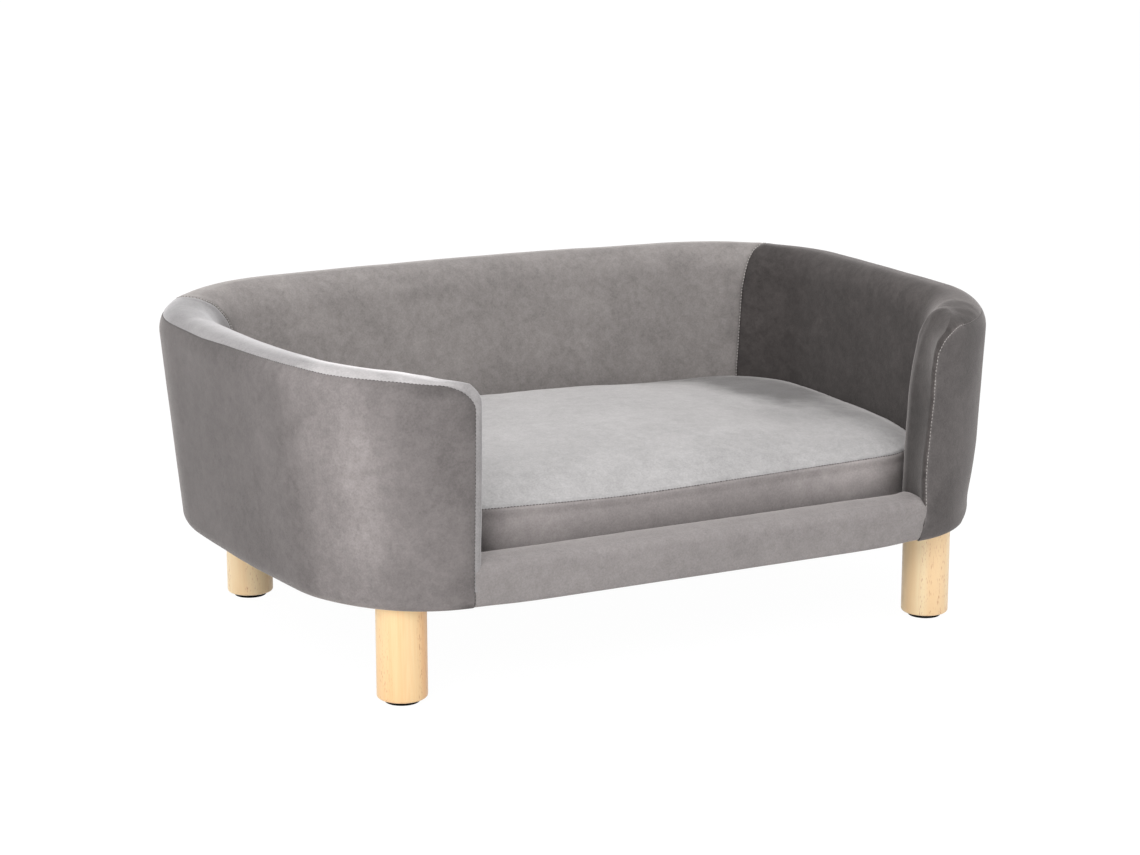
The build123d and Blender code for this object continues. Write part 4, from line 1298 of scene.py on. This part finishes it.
def plain(name, light, dark, rough, metal=0.0, scale=180.0, bump_depth=0.0002, shine=0.5):
    """Thread, metal, plastic, board or thin cloth: small uneven marks between two colours."""
    made, tree, shader, place = new_material(name)
    mark = grouped(tree, marks, {"Place": place, "Scale": scale})["Mark"]
    wire(tree, shader, {
        "Base Color": mixed(tree, ranged(tree, mark, 0.35, 0.7, 0.0, 1.0), colour(*light), colour(*dark)),
        "Roughness": ranged(tree, mark, 0.3, 0.7, rough, rough + 0.15), "Metallic": metal,
        "Specular IOR Level": shine, "Normal": bumped(tree, mark, 0.3, bump_depth)})
    return made


# Painted light on the outer cover: its tone across the sofa, lighter where it faces the key lamp, on a line
# that turns a little with the height
outer_line = (0.886, -0.4645, 0.18)
outer_painted_light = ((-0.39, 0.43), (-0.3, 0.46), (-0.245, 0.56), (-0.197, 0.86), (-0.17, 0.97), (-0.123, 0.74),
               (-0.056, 0.63), (0.14, 0.6), (0.41, 0.42))
# The same cover's even tone behind, without the painted light, and where it takes over, in metres
back_tone, back_starts = 0.54, (0.15, 0.25)
velvet_outer = velvet("velvet_outer", (140, 134, 133), rim=(0.8, 0.3), drift=outer_painted_light, along=outer_line)
# The left arm's copy has the strongest painted sheen, a painted highlight along its crest where it is seen
# edge on
velvet_left = velvet("velvet_left_arm", (148, 145, 145), turn=(0.3, 0.2, 0.5), patch=0.12, rim=(0.62, 1.0),
                     bloom=(230, 233, 238))
# A darker copy of the velvet for the right arm: partly the pile lying another way, partly painted shade
shaded_velvet_right = velvet("velvet_right_arm", (70, 66, 65), turn=(0.9, 0.4, 0.1), sheen=0.5, streak=0.12,
                      patch=0.3, rim=(0.6, 0.5))
velvet_back = velvet("velvet_back", (143, 138, 136), turn=(0.2, 0.8, 0.3), rim=(0.6, 0.45))
velvet_rail = velvet("velvet_rail", (140, 135, 134), patch=0.12, turn=(1.2, 0.1, 0.6))
velvet_top = velvet("velvet_cushion_top", (172, 170, 170), patch=0.14, streak=0.03, turn=(1.57, 0.1, 0.2),
                    rim=(0.6, 0.1))
velvet_boxing = velvet("velvet_cushion_boxing", (150, 144, 143), patch=0.12, turn=(0.5, 0.5, 0.5))
velvet_sole = velvet("velvet_cushion_sole", (150, 146, 146), turn=(0.1, 0.5, 0.9))
# Lit and shaded copies of one thread: the darker ones paint the shade in the seams' grooves
thread = plain("sewing_thread", (196, 191, 188), (170, 165, 162), 0.7, scale=900.0)
end_thread = plain("pale_grey_sewing_thread", (178, 173, 170), (140, 135, 132), 0.7, scale=900.0)
half_shaded_thread = plain("grey_sewing_thread", (138, 133, 131), (112, 107, 106), 0.7, scale=900.0)
shaded_thread = plain("shaded_sewing_thread", (84, 80, 79), (66, 62, 61), 0.7, scale=900.0)
# Lit and shaded copies of one wood: the lighter copy lifts the legs that stand in the sofa's shade, the
# darker, warmer copy tones down the front-left leg that the lamps light most
rubberwood = wood("rubberwood", (250, 226, 184), (244, 208, 160), (196, 128, 92))
warm_rubberwood_for_lit_leg = wood("warm_rubberwood_for_lit_leg", (240, 208, 158), (238, 188, 134), (182, 112, 80))
pine = wood("sawn_pine", (236, 208, 160), (214, 172, 112), (170, 110, 60), rough=0.6, coat=0.0)
plywood = wood("plywood", (226, 198, 152), (206, 168, 116), (150, 104, 62), band=14.0, rough=0.6, coat=0.0)
hardboard = plain("hardboard", (126, 92, 62), (96, 68, 44), 0.7, scale=420.0)
black_cloth = plain("nonwoven_cloth", (34, 34, 35), (20, 20, 21), 0.85, scale=700.0, bump_depth=0.0003)
steel = plain("zinc_plated_steel", (196, 197, 200), (160, 161, 165), 0.32, metal=1.0, scale=240.0)
dark_metal = plain("zip_metal", (128, 127, 130), (88, 87, 90), 0.35, metal=1.0, scale=400.0)
black_plastic = plain("black_plastic", (20, 20, 20), (12, 12, 12), 0.75, scale=300.0, shine=0.1)
tape = plain("zip_tape", (128, 125, 125), (108, 105, 105), 0.85, scale=1100.0)
coil = plain("zip_coil", (118, 115, 115), (100, 97, 97), 0.5, scale=800.0)


def finish(obj, material):
    obj.data.materials.clear()
    obj.data.materials.append(material)
    return obj


# Sew the wall

wall, wall_lines = shaped_wall()
covers = cut_panels(wall, {OUTER: "outer_panel", LEFT_ARM: "left_arm", RIGHT_ARM: "right_arm",
                           BACK: "back_rest"})
cover_facts = {
    "outer_panel": (velvet_outer, 0.3, ("outer_cover", "wall_wadding")),
    "left_arm": (velvet_left, 0.8, ("left_arm_cover", "left_arm_foam")),
    "right_arm": (shaded_velvet_right, 0.8, ("right_arm_cover", "right_arm_foam")),
    "back_rest": (velvet_back, 0.8, ("back_inner_cover", "back_foam")),
}
for name, (material, fill, replaced) in cover_facts.items():
    piece = finish(covers[name], material)
    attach(piece, "sofa")
    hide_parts(*replaced)

rail = finish(rail_skin(), velvet_rail)
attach(rail, "sofa")
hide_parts("front_rail_cover", "front_rail_foam")

cushion, cushion_lines = cushion_piece()
for material in (velvet_top, velvet_boxing, velvet_sole):
    cushion.data.materials.append(material)
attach(cushion, "cushion")
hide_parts("cushion_foam", "cushion_top_panel", "cushion_side_band", "cushion_bottom_panel")

deck = cloth_from("deck_cloth_cover", deck_ring(deck_top, 0.6), deck_top - 0.6, 9.0, 0.5)
finish(deck, black_cloth)
thickened(deck, 0.6)
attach(deck, "sofa")
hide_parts("deck_cloth", "deck_pad")

dust = cloth_from("dust_sheet", closed_ring(body_bottom, 20.0), body_bottom + 0.4, 9.0, 0.15)
finish(dust, black_cloth)
thickened(dust, 0.4)
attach(dust, "sofa")
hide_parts("dust_cover")

# Stitching

stitching = repeat_tree("stitching", ring=False)


def raised(line, out):
    return [p + n * out for p, n in line]


left, right = wall_lines[LEFT], wall_lines[RIGHT]
over_rail = [spot for spot in right["front"] if spot[0].z > rail_seam_z - 3]
cushion_seams = [cushion_lines["top"], cushion_lines["sole"]]
# Seams that show stitches: their lines, body, thread and seed, how far the stitches stand out, and how thick
# they are, in millimetres
seam_runs = {
    "left_arm_stitches": ([left["front"], left["crest"]], "sofa", shaded_thread, 3, 0.05, 0.75),
    "right_end_stitches": ([over_rail], "sofa", end_thread, 5, 0.3, 1.0),
    "right_arm_stitches": ([right["crest"]], "sofa", half_shaded_thread, 6, 0.1, 0.8),
    "corner_stitches": ([left["corner"], right["corner"]], "sofa", thread, 7, 1.3, 1.2),
    "cushion_stitches": (cushion_seams, "cushion", shaded_thread, 8, 0.2, 0.8),
}
for name, (lines, body, material, seed, out, thick) in seam_runs.items():
    step, length = (0.0034, 0.0025) if body == "cushion" else (0.0036, 0.0023)
    stitches = laid_along(name, [raised(line, out) for line in lines], stitching,
                          {"Step": step, "Length": length, "Thickness": thick * MM, "Unevenness": 0.15,
                           "Seed": seed, "Finish": material})
    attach(stitches, body)

# Zip

coil_tree = repeat_tree("zip_coil_turns", ring=True)
coil_half, coil_apart = 148, 0.9
coil_y = sum(corner.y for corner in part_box("zip_chain")) / 2 / MM
coil_rows = [line_of((-coil_half, coil_y, z), (coil_half, coil_y, z))
             for z in (zip_z - coil_apart, zip_z + coil_apart)]
coils = laid_along("zip_coil_turns", coil_rows, coil_tree,
                   {"Step": 0.0013, "Length": 0.0018, "Thickness": 0.0016, "Unevenness": 0.0, "Seed": 1,
                    "Finish": coil})
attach(coils, "cushion")
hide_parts("zip_chain")


# Legs, turned round with a softened foot, and the glides under them

def turned_piece(name, centres, profile, segments=72):
    """Solids of revolution about upright axes from pairs of radius and height, closed at both ends."""
    bm = bmesh.new()
    for centre in centres:
        rings = []
        for radius, z in profile:
            ring = [polar(centre, radius, 2 * pi * i / segments) for i in range(segments)]
            rings.append([bm.verts.new((x, y, z)) for x, y in ring])
        for low, high in zip(rings, rings[1:]):
            for i in range(segments):
                j = (i + 1) % segments
                bm.faces.new((low[i], low[j], high[j], high[i]))
        bm.faces.new(rings[0][::-1])
        bm.faces.new(rings[-1])
    bm.normal_update()
    obj = new_object(name, mesh_of(name, bm))
    obj.data.set_sharp_from_angle(angle=radians(50))
    return obj


leg_foot, leg_round, glide_radius, glide_round = 1.2, 3.0, 17.5, 0.6
feet = []
for depth_end in ("front", "back"):
    for side in ("left", "right"):
        name = f"{depth_end}_{side}_leg"
        low, high = (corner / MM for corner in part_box(name))
        centre, radius = (low + high) / 2, (high.x - low.x) / 2
        feet.append((centre.x, centre.y))
        foot = []
        for turn in (pi / 2 * i / 6 for i in range(7)):
            foot_z = low.z + leg_foot + leg_round * (1 - cos(turn))
            foot.append((radius - leg_round * (1 - sin(turn)), foot_z))
        # painted light and shade: the most lit leg takes the darker copy, the shaded legs the lighter one
        timber = warm_rubberwood_for_lit_leg if name == "front_left_leg" else rubberwood
        leg = finish(turned_piece(f"turned_{name}", feet[-1:], foot + [(radius, high.z)]), timber)
        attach(leg, "sofa")
        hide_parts(name)

glide_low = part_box("glides")[0].z / MM
glide_top = low.z + leg_foot
glide_profile = [(glide_radius - glide_round, glide_low), (glide_radius, glide_low + glide_round),
                 (glide_radius, glide_top), (1.0, glide_top + 0.2)]
glides = finish(turned_piece("moulded_glides", feet, glide_profile), black_plastic)
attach(glides, "sofa")
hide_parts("glides")


# Finishes of the frame's own pieces

node_finishes = {
    "base_panel": plywood, "top_rib": plywood, "outer_skin": hardboard, "inner_skin": hardboard,
    "front_rail_board": pine, "middle_back_post": pine, "base_screws": steel, "rib_screws": steel,
    "staples": steel, "leg_plates": steel, "leg_plate_screws": steel, "hanger_bolts": steel,
    "tee_nuts": steel, "glide_nails": steel, "zip_tapes": tape,
    "zip_stops": dark_metal, "zip_slider": dark_metal, "zip_pull": dark_metal,
}
for side in ("left", "right"):
    for kind in ("front", "arm", "side", "corner", "back"):
        node_finishes[f"{side}_{kind}_post"] = pine
for name, material in node_finishes.items():
    finish(nodes[name], material)

# Studio: pale floor, soft lamps and the camera

def seen_plainly(tree):
    """1 for what the camera sees, also in a mirror or through glass, and 0 for light on its way."""
    paths = tree.nodes.new("ShaderNodeLightPath").outputs
    mirrored = math(tree, "MAXIMUM", paths["Is Glossy Ray"], paths["Is Transmission Ray"])
    return math(tree, "MAXIMUM", paths["Is Camera Ray"], mirrored)


# Brightness of the studio as it is seen, and as it lights the sofa
studio_white, studio_light = 1.05, 0.65
floor_half = 30
floor_mesh = bpy.data.meshes.new("studio_floor")
corners = [(x * floor_half, y * floor_half, 0) for x, y in ((-1, -1), (1, -1), (1, 1), (-1, 1))]
floor_mesh.from_pydata(corners, [], [(0, 1, 2, 3)])
floor = new_object("studio_floor", floor_mesh)
made, tree, shader, place = new_material("studio_floor")
wire(tree, shader, {"Base Color": (0.9, 0.9, 0.9, 1.0), "Roughness": 0.9})
glow = add_node(tree, "ShaderNodeEmission", {"Color": (1.0, 1.0, 1.0, 1.0), "Strength": studio_white})
share = math(tree, "MULTIPLY", seen_plainly(tree), 0.93)
blend = add_node(tree, "ShaderNodeMixShader", {0: share, 1: shader.outputs[0], 2: glow.outputs[0]})
below = tree.nodes.new("ShaderNodeNewGeometry").outputs["Backfacing"]
clear = tree.nodes.new("ShaderNodeBsdfTransparent")
open_below = add_node(tree, "ShaderNodeMixShader", {0: below, 1: blend.outputs[0], 2: clear.outputs[0]})
tree.links.new(open_below.outputs[0], tree.nodes["Material Output"].inputs["Surface"])
finish(floor, made)

world = bpy.data.worlds.new("studio")
scene.world = world
world.use_nodes = True
tree = world.node_tree
seen = seen_plainly(tree)
given = {0: seen, 1: 0.0, 2: 1.0, 3: studio_light, 4: studio_white}
level = add_node(tree, "ShaderNodeMapRange", given).outputs[0]
wire(tree, tree.nodes["Background"], {0: (1.0, 1.0, 1.0, 1.0), 1: level})


def soft_lamp(name, place, aim, width, power):
    data = bpy.data.lights.new(name, "AREA")
    data.shape = "SQUARE"
    data.size = width
    data.energy = power
    lamp = new_object(name, data)
    lamp.location = place
    lamp.rotation_euler = (Vector(aim) - Vector(place)).to_track_quat("-Z", "Y").to_euler()


soft_lamp("key_lamp", (-1.7, -1.9, 1.7), (0, 0, 0.2), 1.2, 26)
soft_lamp("top_lamp", (-0.1, -0.1, 2.8), (0, 0, 0.2), 1.8, 32)
soft_lamp("front_lamp", (0.5, -2.6, 0.35), (0, 0, 0.1), 1.2, 9)
soft_lamp("side_lamp", (-2.4, -0.3, 0.25), (0, 0, 0.05), 1.0, 13)

scene.view_settings.view_transform = "Standard"
camera_data = bpy.data.cameras.new("camera")
camera_data.lens = 82.75
camera = new_object("camera", camera_data)
camera_place = (-1.2885, -2.4518, 0.8287)
right, up = Vector((0.8856, -0.4645, -0.0009)), Vector((0.1048, 0.1978, 0.9746))
right.normalize()
back = right.cross(up).normalized()
up = back.cross(right)
turned = Matrix((right, up, back)).transposed().to_4x4()
camera.matrix_world = Matrix.Translation(camera_place) @ turned
scene.camera = camera
